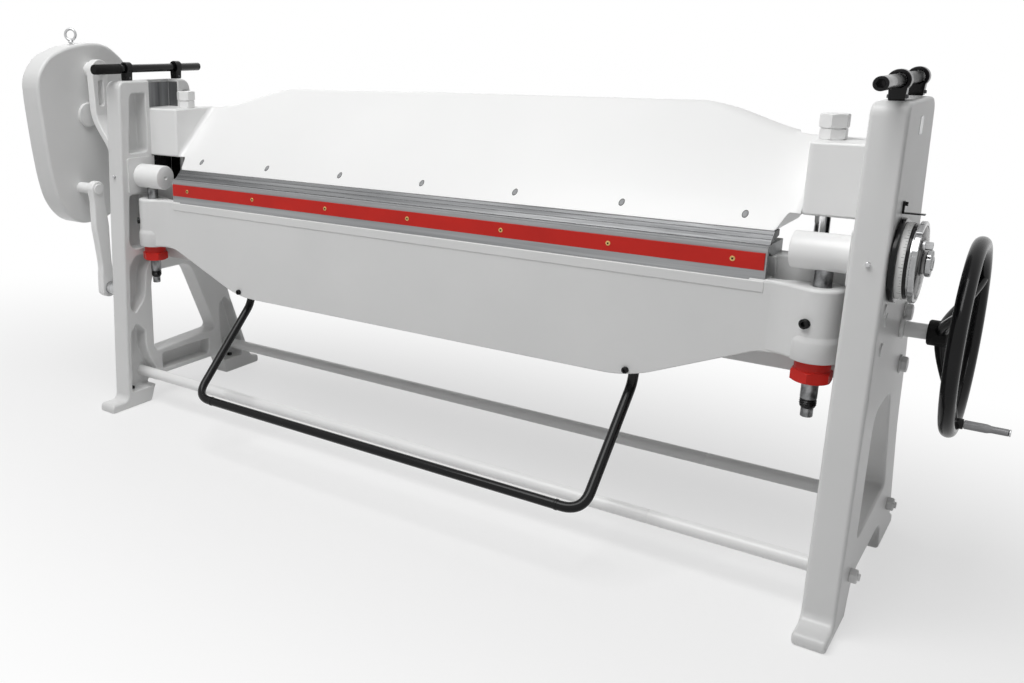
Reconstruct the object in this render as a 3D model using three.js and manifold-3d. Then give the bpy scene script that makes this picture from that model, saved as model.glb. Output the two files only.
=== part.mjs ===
// Manual folding machine for sheet metal: two side frames, a bed, a clamping beam that a handwheel raises,
// and a counterweighted folding beam that swings up about the fold line.
// Millimetres. X runs along the blades, Y goes from the operator towards the back, Z is up.
// Everything is laid out from the fold line, at Y = 0 and at foldHeight above the floor, and the group
// is moved at the end so that its origin is the middle of the machine's footprint.
import * as THREE from 'three';
import { mergeVertices } from 'three/addons/utils/BufferGeometryUtils.js';
import Module from 'manifold-3d';

const wasm = await Module();
wasm.setup();

// Driving sizes of the machine
const bladeLength = 2040;
const foldHeight = 900;
const frameGap = 2412;
const frameThickness = 76;
const frameWeb = 20;
const frameAboveFold = 347;
const frameHeight = foldHeight + frameAboveFold;
const frameDepth = 835;

// Clearances shared by all pieces
const seatGap = 0.3;
const runningGap = 0.5;
const overrun = 6;

// Trunnions and the studs that carry the folding beam
const trunnionRadius = 44;
const trunnionLength = 129;
const trunnionShaftRadius = 25;
const bearingProud = 6;
const studRadius = 20;
const studInset = 63;
const studTopBelowAxis = 20;
const studLength = 383;

// Folding beam and its bar
const barThickness = 14;
const barHeight = 84;
const barTopDrop = 0.5;
const stripThickness = 3;
const stripHeight = 42;
const stripTopDrop = 17;
const stripEndInset = 4;
const beamFront = 16;
const beamBack = 14;
const beamDepth = 392;
const beamBottomHalf = 705;
const beamEndDepth = 258;
const bossRadius = 53;
const bossTopDrop = 80;
const collarRadius = 57;
const collarHeight = 58;

// Clamping beam, its guides and its spindles
const clampTravel = 100;
const noseLift = 1.2;
const bladeRise = 30;
const creaseRise = 91;
const ridgeRise = 317;
const ridgeSetBack = 330;
const ridgeHalf = 737;
const beamHalf = 1028;
const endBlockRise = 71;
const endBlockHeight = 174;
const guideFront = 60;
const guideWidth = 152;
const spindleInset = 108;
const spindleBehind = 146;
const spindleRadius = 18;
const spindleBelowFold = 284;
const spindleBottom = foldHeight - spindleBelowFold;

// Bed
const bedBladeThickness = 31;
const bedBladeWidth = 120;
const bedFront = 66;
const bedBack = 340;
const bedDepth = 355;
const bedWall = 30;
const bedFloorRise = 37;
const bedBottom = foldHeight - bedDepth;
const bedFloor = bedBottom + bedFloorRise;
const bedEndPlate = 20;

// Cross shaft and handwheel
const shaftRadius = 14;
const shaftBehind = 236;
const shaftBelowFold = 212;
const shaftHeight = foldHeight - shaftBelowFold;
const bearingWall = 5;
const wheelRadius = 225;
const rimRadius = 18.5;
const wheelOut = 136;

// Counterweight linkage, outside the left frame
const linkRise = 385;
const linkLean = 30;
const guidePivotFront = 74;
const guidePivotBelowFold = 437;
const guidePivotHeight = foldHeight - guidePivotBelowFold;
const weightOut = 148;
const weightThickness = 100;

const halfGap = frameGap / 2;
const halfBlade = bladeLength / 2;
const frameOuter = halfGap + frameThickness;
const studPlace = halfGap - studInset;
const spindlePlace = halfGap - spindleInset;

// Finishes
const finish = {
  castGrey: new THREE.MeshStandardMaterial({ color: 0xdededc, roughness: 0.45, metalness: 0 }),
  castWhite: new THREE.MeshStandardMaterial({ color: 0xeeeeec, roughness: 0.42, metalness: 0 }),
  red: new THREE.MeshStandardMaterial({ color: 0xb3231d, roughness: 0.45, metalness: 0 }),
  black: new THREE.MeshStandardMaterial({ color: 0x17181a, roughness: 0.35, metalness: 0.1 }),
  rubber: new THREE.MeshStandardMaterial({ color: 0x1d1d1e, roughness: 0.8, metalness: 0 }),
  blade: new THREE.MeshStandardMaterial({ color: 0x8f9294, roughness: 0.4, metalness: 0.9 }),
  steel: new THREE.MeshStandardMaterial({ color: 0x9fa2a3, roughness: 0.35, metalness: 0.9 }),
  chrome: new THREE.MeshStandardMaterial({ color: 0xd5d7d8, roughness: 0.12, metalness: 1 }),
  bronze: new THREE.MeshStandardMaterial({ color: 0xb08d4a, roughness: 0.4, metalness: 0.9 }),
  scale: new THREE.MeshStandardMaterial({ color: 0xf2f2f0, roughness: 0.5, metalness: 0 }),
};

const roundSides = 16;
const smallSides = 10;
const discSides = 28;
const trunnionSides = 32;
const coarseSteps = 2;
const machine = new THREE.Group();

// Turn a closed geometry into a solid: shared vertices merged, empty faces dropped, faces pointing out
function solidOf(source) {
  const geometry = source.index ? source.toNonIndexed() : source;
  geometry.deleteAttribute('normal');
  geometry.deleteAttribute('uv');
  const merged = mergeVertices(geometry, 0.001);
  const points = merged.attributes.position;
  const corner = [new THREE.Vector3(), new THREE.Vector3(), new THREE.Vector3()];
  const triangles = [];
  let volume = 0;
  for (let start = 0; start < merged.index.count; start += 3) {
    const [a, b, c] = [0, 1, 2].map((step) => merged.index.getX(start + step));
    if (a !== b && b !== c && c !== a) {
      triangles.push([a, b, c]);
      [a, b, c].forEach((vertex, slot) => corner[slot].fromBufferAttribute(points, vertex));
      volume += corner[0].dot(corner[1].cross(corner[2]));
    }
  }
  const order = volume < 0 ? [0, 2, 1] : [0, 1, 2];
  return new wasm.Manifold(new wasm.Mesh({
    numProp: 3,
    vertProperties: new Float32Array(points.array),
    triVerts: new Uint32Array(triangles.flatMap((triangle) => order.map((slot) => triangle[slot]))),
  }));
}

function geometryOf(solid) {
  const mesh = solid.getMesh();
  const geometry = new THREE.BufferGeometry();
  geometry.setAttribute('position', new THREE.BufferAttribute(mesh.vertProperties, 3));
  geometry.setIndex(new THREE.BufferAttribute(mesh.triVerts, 1));
  geometry.computeVertexNormals();
  return geometry;
}

function addPart(name, solid, material, place = [0, 0, 0]) {
  const mesh = new THREE.Mesh(geometryOf(solid), material);
  mesh.name = name;
  mesh.position.set(...place);
  machine.add(mesh);
  return mesh;
}

function joined(solids) {
  return solids.reduce((whole, piece) => whole.add(piece));
}

function cut(solid, tools) {
  return tools.reduce((rest, tool) => rest.subtract(tool), solid);
}

// Outline of corners [a, b] or [a, b, rounding], the last with its corner rounded off
function outlineShape(corners) {
  const shape = new THREE.Shape();
  const at = (index) => new THREE.Vector2(...corners[(index + corners.length) % corners.length]);
  corners.forEach((entry, index) => {
    const here = at(index);
    const rounding = entry[2] ?? 0;
    const before = at(index - 1).sub(here);
    const after = at(index + 1).sub(here);
    const reach = Math.min(rounding, before.length() / 2, after.length() / 2);
    const entering = here.clone().add(before.setLength(reach));
    const leaving = here.clone().add(after.setLength(reach));
    if (index === 0) {
      shape.moveTo(entering.x, entering.y);
    } else {
      shape.lineTo(entering.x, entering.y);
    }
    if (reach > 0) {
      shape.quadraticCurveTo(here.x, here.y, leaving.x, leaving.y);
    }
  });
  shape.closePath();
  return shape;
}

const axisBasis = {
  x: [new THREE.Vector3(0, 1, 0), new THREE.Vector3(0, 0, 1), new THREE.Vector3(1, 0, 0)],
  y: [new THREE.Vector3(0, 0, 1), new THREE.Vector3(1, 0, 0), new THREE.Vector3(0, 1, 0)],
  z: [new THREE.Vector3(1, 0, 0), new THREE.Vector3(0, 1, 0), new THREE.Vector3(0, 0, 1)],
};

// Plate of an outline, from one place to another along an axis.
// Its corners are [Y, Z] along x, [Z, X] along y and [X, Y] along z.
function plate(axis, corners, from, to, roundSteps = 3) {
  const low = Math.min(from, to);
  const geometry = new THREE.ExtrudeGeometry(outlineShape(corners), {
    depth: Math.abs(to - from),
    bevelEnabled: false,
    curveSegments: roundSteps,
  });
  geometry.applyMatrix4(new THREE.Matrix4().makeBasis(...axisBasis[axis]));
  geometry.translate(...axisBasis[axis][2].clone().multiplyScalar(low).toArray());
  return solidOf(geometry);
}

function box(x, y, z) {
  const geometry = new THREE.BoxGeometry(Math.abs(x[1] - x[0]), Math.abs(y[1] - y[0]), Math.abs(z[1] - z[0]));
  geometry.translate((x[0] + x[1]) / 2, (y[0] + y[1]) / 2, (z[0] + z[1]) / 2);
  return solidOf(geometry);
}

// Round bar along an axis. Its centre is [Y, Z] along x, [Z, X] along y and [X, Y] along z.
function rod(axis, radius, from, to, centre = [0, 0], sides = roundSides) {
  const geometry = new THREE.CylinderGeometry(radius, radius, Math.abs(to - from), sides);
  geometry.rotateX(Math.PI / 2);
  geometry.translate(centre[0], centre[1], (from + to) / 2);
  geometry.applyMatrix4(new THREE.Matrix4().makeBasis(...axisBasis[axis]));
  return solidOf(geometry);
}

function tube(axis, outer, inner, from, to, centre = [0, 0], sides = roundSides) {
  const low = Math.min(from, to) - overrun;
  const high = Math.max(from, to) + overrun;
  return rod(axis, outer, from, to, centre, sides).subtract(rod(axis, inner, low, high, centre, sides));
}

function hexagon(axis, acrossFlats, from, to, centre = [0, 0]) {
  return rod(axis, acrossFlats / Math.sqrt(3), from, to, centre, 6);
}

// Path with one ring of its pipe at each station
class StationPath extends THREE.Curve {
  constructor(stations) {
    super();
    this.stations = stations;
  }

  getPointAt(share) {
    return this.stations[Math.round(share * (this.stations.length - 1))].clone();
  }

  getTangentAt(share) {
    const index = Math.round(share * (this.stations.length - 1));
    const here = this.stations[index];
    const before = this.stations[Math.max(index - 1, 0)];
    const after = this.stations[Math.min(index + 1, this.stations.length - 1)];
    return here.clone().sub(before).normalize().add(after.clone().sub(here).normalize()).normalize();
  }

  getSpacedPoints(divisions) {
    return this.stations.map((station) => station.clone()).slice(0, divisions + 1);
  }
}

// Pipe of straight runs, each corner rounded by its own bend
function bentPipe(radius, corners, bends, sides) {
  const bendSteps = 5;
  const stations = [corners[0]];
  corners.slice(1, -1).forEach((corner, index) => {
    const entering = corner.clone().add(corners[index].clone().sub(corner).setLength(bends[index]));
    const leaving = corner.clone().add(corners[index + 2].clone().sub(corner).setLength(bends[index]));
    stations.push(...new THREE.QuadraticBezierCurve3(entering, corner, leaving).getPoints(bendSteps));
  });
  stations.push(corners[corners.length - 1]);
  const section = new THREE.Shape();
  section.absarc(0, 0, radius, 0, Math.PI * 2);
  return solidOf(new THREE.ExtrudeGeometry(section, {
    steps: stations.length - 1,
    curveSegments: sides / 2,
    extrudePath: new StationPath(stations),
    bevelEnabled: false,
  }));
}

// Outlines of the side frame, as shares of frameDepth behind the fold line and of frameHeight
const frameOutlineShares = [
  [-0.234, 0], [-0.234, 0.026, 0.004], [-0.141, 0.026, 0.024], [-0.098, 1, 0.060],
  [0.326, 1, 0.054], [0.366, 0.790, 0.048], [0.509, 0.449, 0.072], [0.541, 0.305, 0.072],
  [0.668, 0.096, 0.048], [0.709, 0.032, 0.024], [0.766, 0.026, 0.004], [0.766, 0],
  [0.520, 0], [0.479, 0.077, 0.060], [0.048, 0.077, 0.060], [0.006, 0],
];
const frameWindowShares = [
  [0.036, 0.160, 0.036], [0.453, 0.172, 0.036], [0.285, 0.419, 0.054], [0.036, 0.419, 0.072],
];
const framePocketShares = [
  [[-0.060, 0.790, 0.012], [0.050, 0.790, 0.012], [0.050, 0.965, 0.012], [-0.041, 0.965, 0.022]],
  [[-0.069, 0.665, 0.010], [-0.084, 0.521, 0.010], [-0.057, 0.500, 0.010], [0.043, 0.500, 0.010],
    [0.043, 0.665, 0.010]],
  [[-0.096, 0.317, 0.010], [-0.091, 0.449, 0.010], [-0.050, 0.479, 0.010], [0.072, 0.479, 0.010],
    [0.007, 0.433, 0.036], [-0.010, 0.340, 0.036], [-0.072, 0.299, 0.010]],
  [[-0.113, 0.050, 0.012], [-0.103, 0.241, 0.010], [-0.067, 0.267, 0.010], [-0.014, 0.237, 0.010],
    [-0.018, 0.180, 0.036], [0.043, 0.096, 0.024], [0.048, 0.050, 0.012]],
  [[0.086, 0.093, 0.010], [0.081, 0.146, 0.010], [0.402, 0.146, 0.010], [0.395, 0.093, 0.010]],
  [[0.477, 0.249, 0.010], [0.519, 0.276, 0.010], [0.570, 0.245, 0.014], [0.622, 0.140, 0.024],
    [0.642, 0.048, 0.017], [0.503, 0.048, 0.017], [0.481, 0.160, 0.017]],
  [[0.279, 0.966, 0.007], [0.316, 0.966, 0.012], [0.330, 0.882, 0.012], [0.279, 0.882, 0.007]],
];
const tieBarShares = [[0, 0.096], [0.584, 0.096]];
const anchorShares = [[-0.076, 0.050], [0.590, 0.048]];

// Places of the bed's bolts: shares of frameDepth behind the fold line and of bedDepth below it
const bedBoltShares = [[0.326, 0.501], [0.384, 0.919]];

const tieBarRadius = 20;
const anchorRadius = 7;
const bedBoltRadius = 12;
const tieBoltRadius = 9;
const blockFront = 64;
const blockBack = 56;
const blockBelow = 62;
const blockAbove = 68;
const padRadius = 16;
const padProud = 3;
const padShares = [[-0.048, 0.6335], [-0.013, 0.612], [-0.025, 0.557]];

const inFrame = (shares) => shares.map(([y, z, rounding]) => (
  [y * frameDepth, z * frameHeight, (rounding ?? 0) * frameDepth]
));
const bedBolts = bedBoltShares.map(([behind, below]) => [behind * frameDepth, foldHeight - below * bedDepth]);

function sideFrame(side) {
  const inner = side * halfGap;
  const outer = side * frameOuter;
  const web = side * (frameOuter - frameWeb);
  const mouth = side * (halfGap - bearingProud - overrun);
  const past = side * (frameOuter + padProud + overrun);
  const slot = [guideFront - runningGap, guideFront + guideWidth + runningGap];
  const block = box(
    [side * (halfGap - bearingProud), web],
    [-blockFront, blockBack],
    [foldHeight - blockBelow, foldHeight + blockAbove],
  );
  const pads = padShares.map(([y, z]) => rod('x', padRadius, outer - side * padProud, outer + side * padProud,
    [y * frameDepth, z * frameHeight], smallSides));
  const slotStart = side * (halfGap - overrun);
  const slotCuts = [
    box([slotStart, web], slot, [foldHeight + blockAbove, frameHeight + overrun]),
    box([slotStart, web], [blockBack + padRadius, slot[1]],
      [foldHeight - blockBelow, foldHeight + blockAbove + overrun]),
  ];
  const pockets = framePocketShares.map((shares) => plate('x', inFrame(shares), mouth, web));
  const holes = [
    rod('x', trunnionShaftRadius + runningGap, mouth, past, [0, foldHeight]),
    ...inFrame(tieBarShares).map(([y, z]) => (
      rod('x', tieBoltRadius + seatGap, mouth, past, [y, z], smallSides)
    )),
    ...bedBolts.map((centre) => rod('x', bedBoltRadius + seatGap, mouth, past, centre, smallSides)),
    ...inFrame(anchorShares).map(([y, z]) => rod('z', anchorRadius, -overrun, z + overrun,
      [side * (frameOuter - frameThickness / 2), y], smallSides)),
  ];
  if (side > 0) {
    holes.push(rod('x', shaftRadius + bearingWall + seatGap, mouth, past, [shaftBehind, shaftHeight]));
  } else {
    holes.push(rod('x', shaftRadius + seatGap, mouth, past, [-guidePivotFront, guidePivotHeight]));
  }
  const body = plate('x', inFrame(frameOutlineShares), inner, outer);
  const window = plate('x', inFrame(frameWindowShares), mouth, past);
  const hollowed = cut(body, [window, ...pockets]);
  return cut(joined([hollowed, block, ...pads]), [...slotCuts, ...holes]);
}

function addFrames() {
  addPart('frame_left', sideFrame(-1), finish.castGrey);
  addPart('frame_right', sideFrame(1), finish.castGrey);
  addTieBars();
  addBedBolts();
}

// Tie bars: turned down at both ends to pass through the webs, with a nut outside each frame
function addTieBars() {
  const nutFlats = 34;
  const nutHeight = 16;
  const endProud = 6;
  const webFace = frameOuter - frameWeb - seatGap;
  const nutFace = frameOuter + seatGap;
  const nutEnd = nutFace + nutHeight;
  ['tie_bar_front', 'tie_bar_rear'].forEach((name, index) => {
    const centre = inFrame(tieBarShares)[index].slice(0, 2);
    addPart(name, joined([
      rod('x', tieBarRadius, -webFace, webFace, centre),
      rod('x', tieBoltRadius, -nutEnd - endProud, nutEnd + endProud, centre, smallSides),
      hexagon('x', nutFlats, nutFace, nutEnd, centre),
      hexagon('x', nutFlats, -nutFace, -nutEnd, centre),
    ]), finish.castWhite);
  });
}

// Bolts that hold the bed between the frames, each with its washer
function addBedBolts() {
  const headFlats = 36;
  const headHeight = 13;
  const washerRadius = 24;
  const washerHeight = 4;
  const face = frameOuter + seatGap;
  const headFace = face + washerHeight;
  [-1, 1].forEach((side) => {
    bedBolts.forEach((centre, index) => {
      const name = `bed_bolt_${side < 0 ? 'left' : 'right'}_${index === 0 ? 'upper' : 'lower'}`;
      const shankEnd = side * (halfGap - bedEndPlate / 2);
      addPart(name, joined([
        rod('x', washerRadius, side * face, side * headFace, centre),
        hexagon('x', headFlats, side * (headFace - seatGap), side * (headFace + headHeight), centre),
        rod('x', bedBoltRadius, shankEnd, side * (face + seatGap), centre, smallSides),
      ]), finish.castGrey);
    });
  });
}

// Bed: an open channel, its back open for the cross shaft, with ribs and an end plate at each frame. The
// ledge behind the blade lies a little lower than the blade's seat and stops short of the frames, save for a
// pad round each spindle. The end plates reach below the lower flange
function addBed() {
  const top = foldHeight - bedBladeThickness - seatGap - barTopDrop;
  const noseSetBack = 34;
  const noseSlope = 56;
  const ribThickness = 16;
  const ribShares = [-0.87, -0.58, -0.29, 0, 0.29, 0.58, 0.87];
  const end = halfGap - seatGap;
  const ledgeHalf = 940;
  const ledgeDrop = 2;
  const ledge = top - ledgeDrop;
  const ledgeFront = bedBladeWidth + runningGap;
  const padRadius = 45;
  const section = [
    [noseSetBack, top], [ledgeFront, top], [ledgeFront, ledge], [bedBack, ledge], [bedBack, top - bedWall],
    [bedFront + bedWall, top - bedWall], [bedFront + bedWall, bedFloor + bedWall],
    [bedBack, bedFloor + bedWall], [bedBack, bedFloor], [bedFront, bedFloor], [bedFront, top - noseSlope],
  ];
  const plateSection = [
    [bedFront, bedFloor], [bedFront + bedBladeWidth, bedBottom], [bedBack, bedBottom], [bedBack, top],
    [bedFront, top],
  ];
  const ribFront = bedFront + bedWall / 2;
  const ribBottom = bedFloor + bedWall / 2;
  const ribTop = top - bedWall / 2;
  const ribSection = [[ribFront, ribBottom], [bedBack, ribBottom], [bedBack, ribTop], [ribFront, ribTop]];
  const ribs = ribShares.map((share) => plate('x', ribSection,
    share * halfBlade - ribThickness / 2, share * halfBlade + ribThickness / 2));
  const shaftHole = rod('x', shaftRadius + runningGap, -end - overrun, end + overrun,
    [shaftBehind, shaftHeight]);
  const sides = [-1, 1];
  const relief = sides.map((side) => box([side * (halfBlade + overrun), side * (end + overrun)],
    [-bedFront, bedFront - 2 * runningGap], [bedBottom - overrun, foldHeight]));
  const spindleHoles = sides.map((side) => rod('z', spindleRadius + runningGap,
    top - bedWall - overrun, top + overrun, [side * spindlePlace, spindleBehind]));
  const ledgeRelief = sides.map((side) => box([side * ledgeHalf, side * (end - bedEndPlate)],
    [ledgeFront, bedBack + overrun], [top - bedWall - overrun, top + overrun])
    .subtract(rod('z', padRadius, bedBottom, foldHeight, [side * spindlePlace, spindleBehind])));
  const boltHoles = sides.flatMap((side) => bedBolts.map((centre) => rod('x', bedBoltRadius + seatGap,
    side * (end - bedEndPlate - overrun), side * (end + overrun), centre, smallSides)));
  const shell = joined([
    plate('x', section, -end, end),
    ...sides.map((side) => plate('x', plateSection, side * (end - bedEndPlate), side * end)),
    ...ribs,
  ]);
  const cuts = [shaftHole, ...relief, ...ledgeRelief, ...spindleHoles, ...boltHoles];
  addPart('bed', cut(shell, cuts), finish.castGrey);

  const edge = 0.5;
  const bladeTop = foldHeight - barTopDrop;
  const bladeBottom = bladeTop - bedBladeThickness;
  addPart('bed_blade', plate('x', [
    [edge, bladeTop], [bedBladeWidth, bladeTop], [bedBladeWidth, bladeBottom], [noseSetBack, bladeBottom],
    [edge, (bladeTop + bladeBottom) / 2],
  ], -halfBlade, halfBlade), finish.blade);
}

// Clamping beam: a sloping front wall on a bottom flange, ribs behind, end blocks that slide in the frames
function addClampingBeam() {
  const wall = 30;
  const flange = 45;
  const heel = 300;
  const lip = 22;
  const ribThickness = 16;
  const ribShares = [-0.96, -0.72, -0.48, -0.24, 0, 0.24, 0.48, 0.72, 0.96];
  const endShareOfRidge = 0.8;
  const blockShoulder = 38;
  const guideEnd = frameOuter - frameWeb - runningGap;
  const base = foldHeight + bladeRise;
  const crease = [creaseRise, foldHeight + creaseRise];
  const ridge = [ridgeSetBack, foldHeight + ridgeRise];
  const slope = (ridge[1] - crease[1]) / (ridge[0] - crease[0]);
  const underFace = (y) => crease[1] + (y - crease[0]) * slope - wall * Math.hypot(1, slope);
  const insideFoot = crease[0] + (base + flange - underFace(crease[0])) / slope;
  const section = [
    [bladeRise, base], crease, ridge, [ridge[0] + lip, ridge[1]],
    [ridge[0] + lip, underFace(ridge[0] + lip)], [insideFoot, base + flange],
    [heel, base + flange], [heel, base],
  ];
  const ribSection = [
    [crease[0], base + flange / 2], [ridge[0], underFace(ridge[0]) + wall],
    [ridge[0], underFace(ridge[0]) - wall], [heel, base + flange / 2],
  ];
  const ribs = ribShares.map((share) => plate('x', ribSection,
    share * beamHalf - ribThickness / 2, share * beamHalf + ribThickness / 2));
  const beam = joined([plate('x', section, -beamHalf, beamHalf), ...ribs]);
  const blockStart = beamHalf + blockShoulder;
  const blockBottom = foldHeight + endBlockRise;
  const blockBack = ridge[0] * endShareOfRidge;

  // The ridge drops towards both ends in a shallow sweep
  const endTop = blockBottom + endBlockHeight;
  const dropEnd = endTop - seatGap;
  const sweepShares = [[0, 0], [0.3, 0.22], [0.6, 0.62], [0.85, 0.93], [1, 1]];
  const drops = [-1, 1].map((side) => plate('y', [
    ...sweepShares.map(([along, down]) => [
      ridge[1] - down * (ridge[1] - dropEnd), side * (ridgeHalf + along * (beamHalf - ridgeHalf)),
    ]),
    [dropEnd, side * (beamHalf + overrun)],
    [ridge[1] + overrun, side * (beamHalf + overrun)],
    [ridge[1] + overrun, side * ridgeHalf],
  ], -overrun, ridge[0] + lip + overrun));

  // Between the sloping wall and each end block, a solid shoulder carries the slope on to the block's flank
  const slopeAtTop = crease[0] + (dropEnd - crease[1]) / slope;
  const shoulders = [-1, 1].map((side) => plate('x', [
    [bladeRise + blockBottom - base, blockBottom], crease, [slopeAtTop, dropEnd],
    [blockBack, dropEnd], [blockBack, blockBottom],
  ], side * (beamHalf - blockShoulder), side * blockStart));
  const blocks = [-1, 1].map((side) => plate('z', [
    [side * (blockStart - overrun), guideFront],
    [side * guideEnd, guideFront],
    [side * guideEnd, guideFront + guideWidth],
    [side * (halfGap - runningGap), guideFront + guideWidth],
    [side * (blockStart - overrun), blockBack],
  ], blockBottom, endTop));
  const bores = [-1, 1].map((side) => rod('z', spindleRadius + seatGap, blockBottom - overrun,
    endTop + overrun, [side * spindlePlace, spindleBehind]));

  const plugRadius = 7;
  const plugDepth = 6;
  const plugPitchShare = 0.3074;
  const plugCentre = (bladeRise + creaseRise) / 2;
  const plugNumbers = [-3, -2, -1, 0, 1, 2, 3];
  const plugHoles = plugNumbers.map((number) => {
    const geometry = new THREE.CylinderGeometry(plugRadius, plugRadius, plugDepth + overrun, smallSides);
    geometry.translate(0, (overrun - plugDepth) / 2, 0);
    geometry.rotateX(Math.PI / 4);
    geometry.translate(number * plugPitchShare * halfBlade, plugCentre, foldHeight + plugCentre);
    return solidOf(geometry);
  });
  const face = joined([cut(beam, drops), ...shoulders, ...blocks]);
  addPart('clamping_beam', cut(face, [...bores, ...plugHoles]), finish.castWhite);

  const bladeReach = 75;
  const bladeTip = 13;
  addPart('clamping_blade', plate('x', [
    [noseLift, foldHeight + noseLift],
    [noseLift + bladeReach, foldHeight + noseLift + bladeTip],
    [noseLift + bladeReach, base - seatGap],
    [bladeRise - seatGap, base - seatGap],
  ], -halfBlade, halfBlade), finish.blade);

  const nutFlats = 56;
  const capFlats = 60;
  const nutHeight = 27;
  const capHeight = 34;
  const nutTop = endTop + nutHeight;
  [-1, 1].forEach((side) => {
    const name = side < 0 ? 'left' : 'right';
    const centre = [side * spindlePlace, spindleBehind];
    const nut = hexagon('z', nutFlats, endTop + seatGap, nutTop, centre)
      .subtract(rod('z', spindleRadius + seatGap, endTop - overrun, nutTop + overrun, centre));
    addPart(`spindle_lock_nut_${name}`, nut, finish.castWhite);
    const spindle = rod('z', spindleRadius, spindleBottom, nutTop + capHeight / 2, centre)
      .add(hexagon('z', capFlats, nutTop + seatGap, nutTop + capHeight, centre));
    addPart(`spindle_${name}`, spindle, finish.steel);
  });
}

// Toothed wheel along an axis: a ring of points at each face, the far one turned so that the teeth slant
function gear(axis, tipRadius, rootShare, teeth, width, centre, at, twist, bore) {
  const perTooth = [rootShare, 1, 1, rootShare];
  const count = teeth * perTooth.length;
  const positions = [];
  const indices = [];
  [0, 1].forEach((face) => {
    for (let step = 0; step < count; step += 1) {
      const angle = (step / count) * Math.PI * 2 + face * twist;
      const radius = tipRadius * perTooth[step % perTooth.length];
      positions.push(radius * Math.cos(angle), radius * Math.sin(angle), (face - 0.5) * width);
    }
  });
  positions.push(0, 0, -width / 2, 0, 0, width / 2);
  const middle = 2 * count;
  for (let step = 0; step < count; step += 1) {
    const next = (step + 1) % count;
    indices.push(step, next, next + count, step, next + count, step + count);
    indices.push(middle, next, step, middle + 1, count + step, count + next);
  }
  const geometry = new THREE.BufferGeometry();
  geometry.setAttribute('position', new THREE.Float32BufferAttribute(positions, 3));
  geometry.setIndex(indices);
  geometry.translate(centre[0], centre[1], at);
  geometry.applyMatrix4(new THREE.Matrix4().makeBasis(...axisBasis[axis]));
  return solidOf(geometry).subtract(rod(axis, bore, at - width, at + width, centre));
}

// Handwheel shaft, gears that turn the spindle nuts, and the bearing in the right frame
function addDrive() {
  const gearWidth = 40;
  const toothShare = 0.86;
  const teeth = 14;
  const twist = 0.9;
  const meshGap = 0.4;
  const spindleGearShare = 0.43;
  const hubRadius = 27;
  const axis = [shaftBehind, shaftHeight];
  const centres = shaftBehind - spindleBehind;
  const spindleTip = centres * spindleGearShare;
  const shaftTip = centres - spindleTip - meshGap;
  const shaftEnd = frameOuter + wheelOut - 2 * rimRadius;
  addPart('cross_shaft', rod('x', shaftRadius, -halfGap + overrun, shaftEnd, axis), finish.steel);
  const bedTop = foldHeight - bedBladeThickness - seatGap - barTopDrop;
  const hubSpan = [bedFloor + bedWall + runningGap, bedTop - bedWall - runningGap];
  [-1, 1].forEach((side) => {
    const name = side < 0 ? 'left' : 'right';
    const centre = [side * spindlePlace, spindleBehind];
    const bore = spindleRadius + runningGap;
    const wheel = gear('z', spindleTip, toothShare, teeth, gearWidth, centre, shaftHeight, twist, bore);
    addPart(`spindle_gear_${name}`, wheel.add(tube('z', hubRadius, bore, ...hubSpan, centre)), finish.bronze);
    const pinion = gear('x', shaftTip, toothShare, teeth, gearWidth, axis, side * spindlePlace, twist,
      shaftRadius + seatGap);
    addPart(`shaft_gear_${name}`, pinion, finish.steel);
  });

  const flangeRadius = 24;
  const flangeHeight = 10;
  const sleeveRadius = 19;
  const hubBehindRim = 77;
  const hubStart = frameOuter + wheelOut - hubBehindRim;
  const flangeEnd = frameOuter + flangeHeight;
  const bearing = joined([
    rod('x', flangeRadius, frameOuter + seatGap, flangeEnd, axis),
    rod('x', shaftRadius + bearingWall, halfGap + bearingProud, flangeEnd, axis),
  ]);
  const bearingBore = rod('x', shaftRadius + runningGap, halfGap, flangeEnd + overrun, axis);
  addPart('shaft_bearing', bearing.subtract(bearingBore), finish.bronze);
  const sleeveSpan = [flangeEnd + runningGap, hubStart - seatGap];
  const sleeve = tube('x', sleeveRadius, shaftRadius + seatGap, ...sleeveSpan, axis);
  addPart('shaft_sleeve', sleeve, finish.castWhite);
  addHandwheel(hubStart);
}

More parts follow.
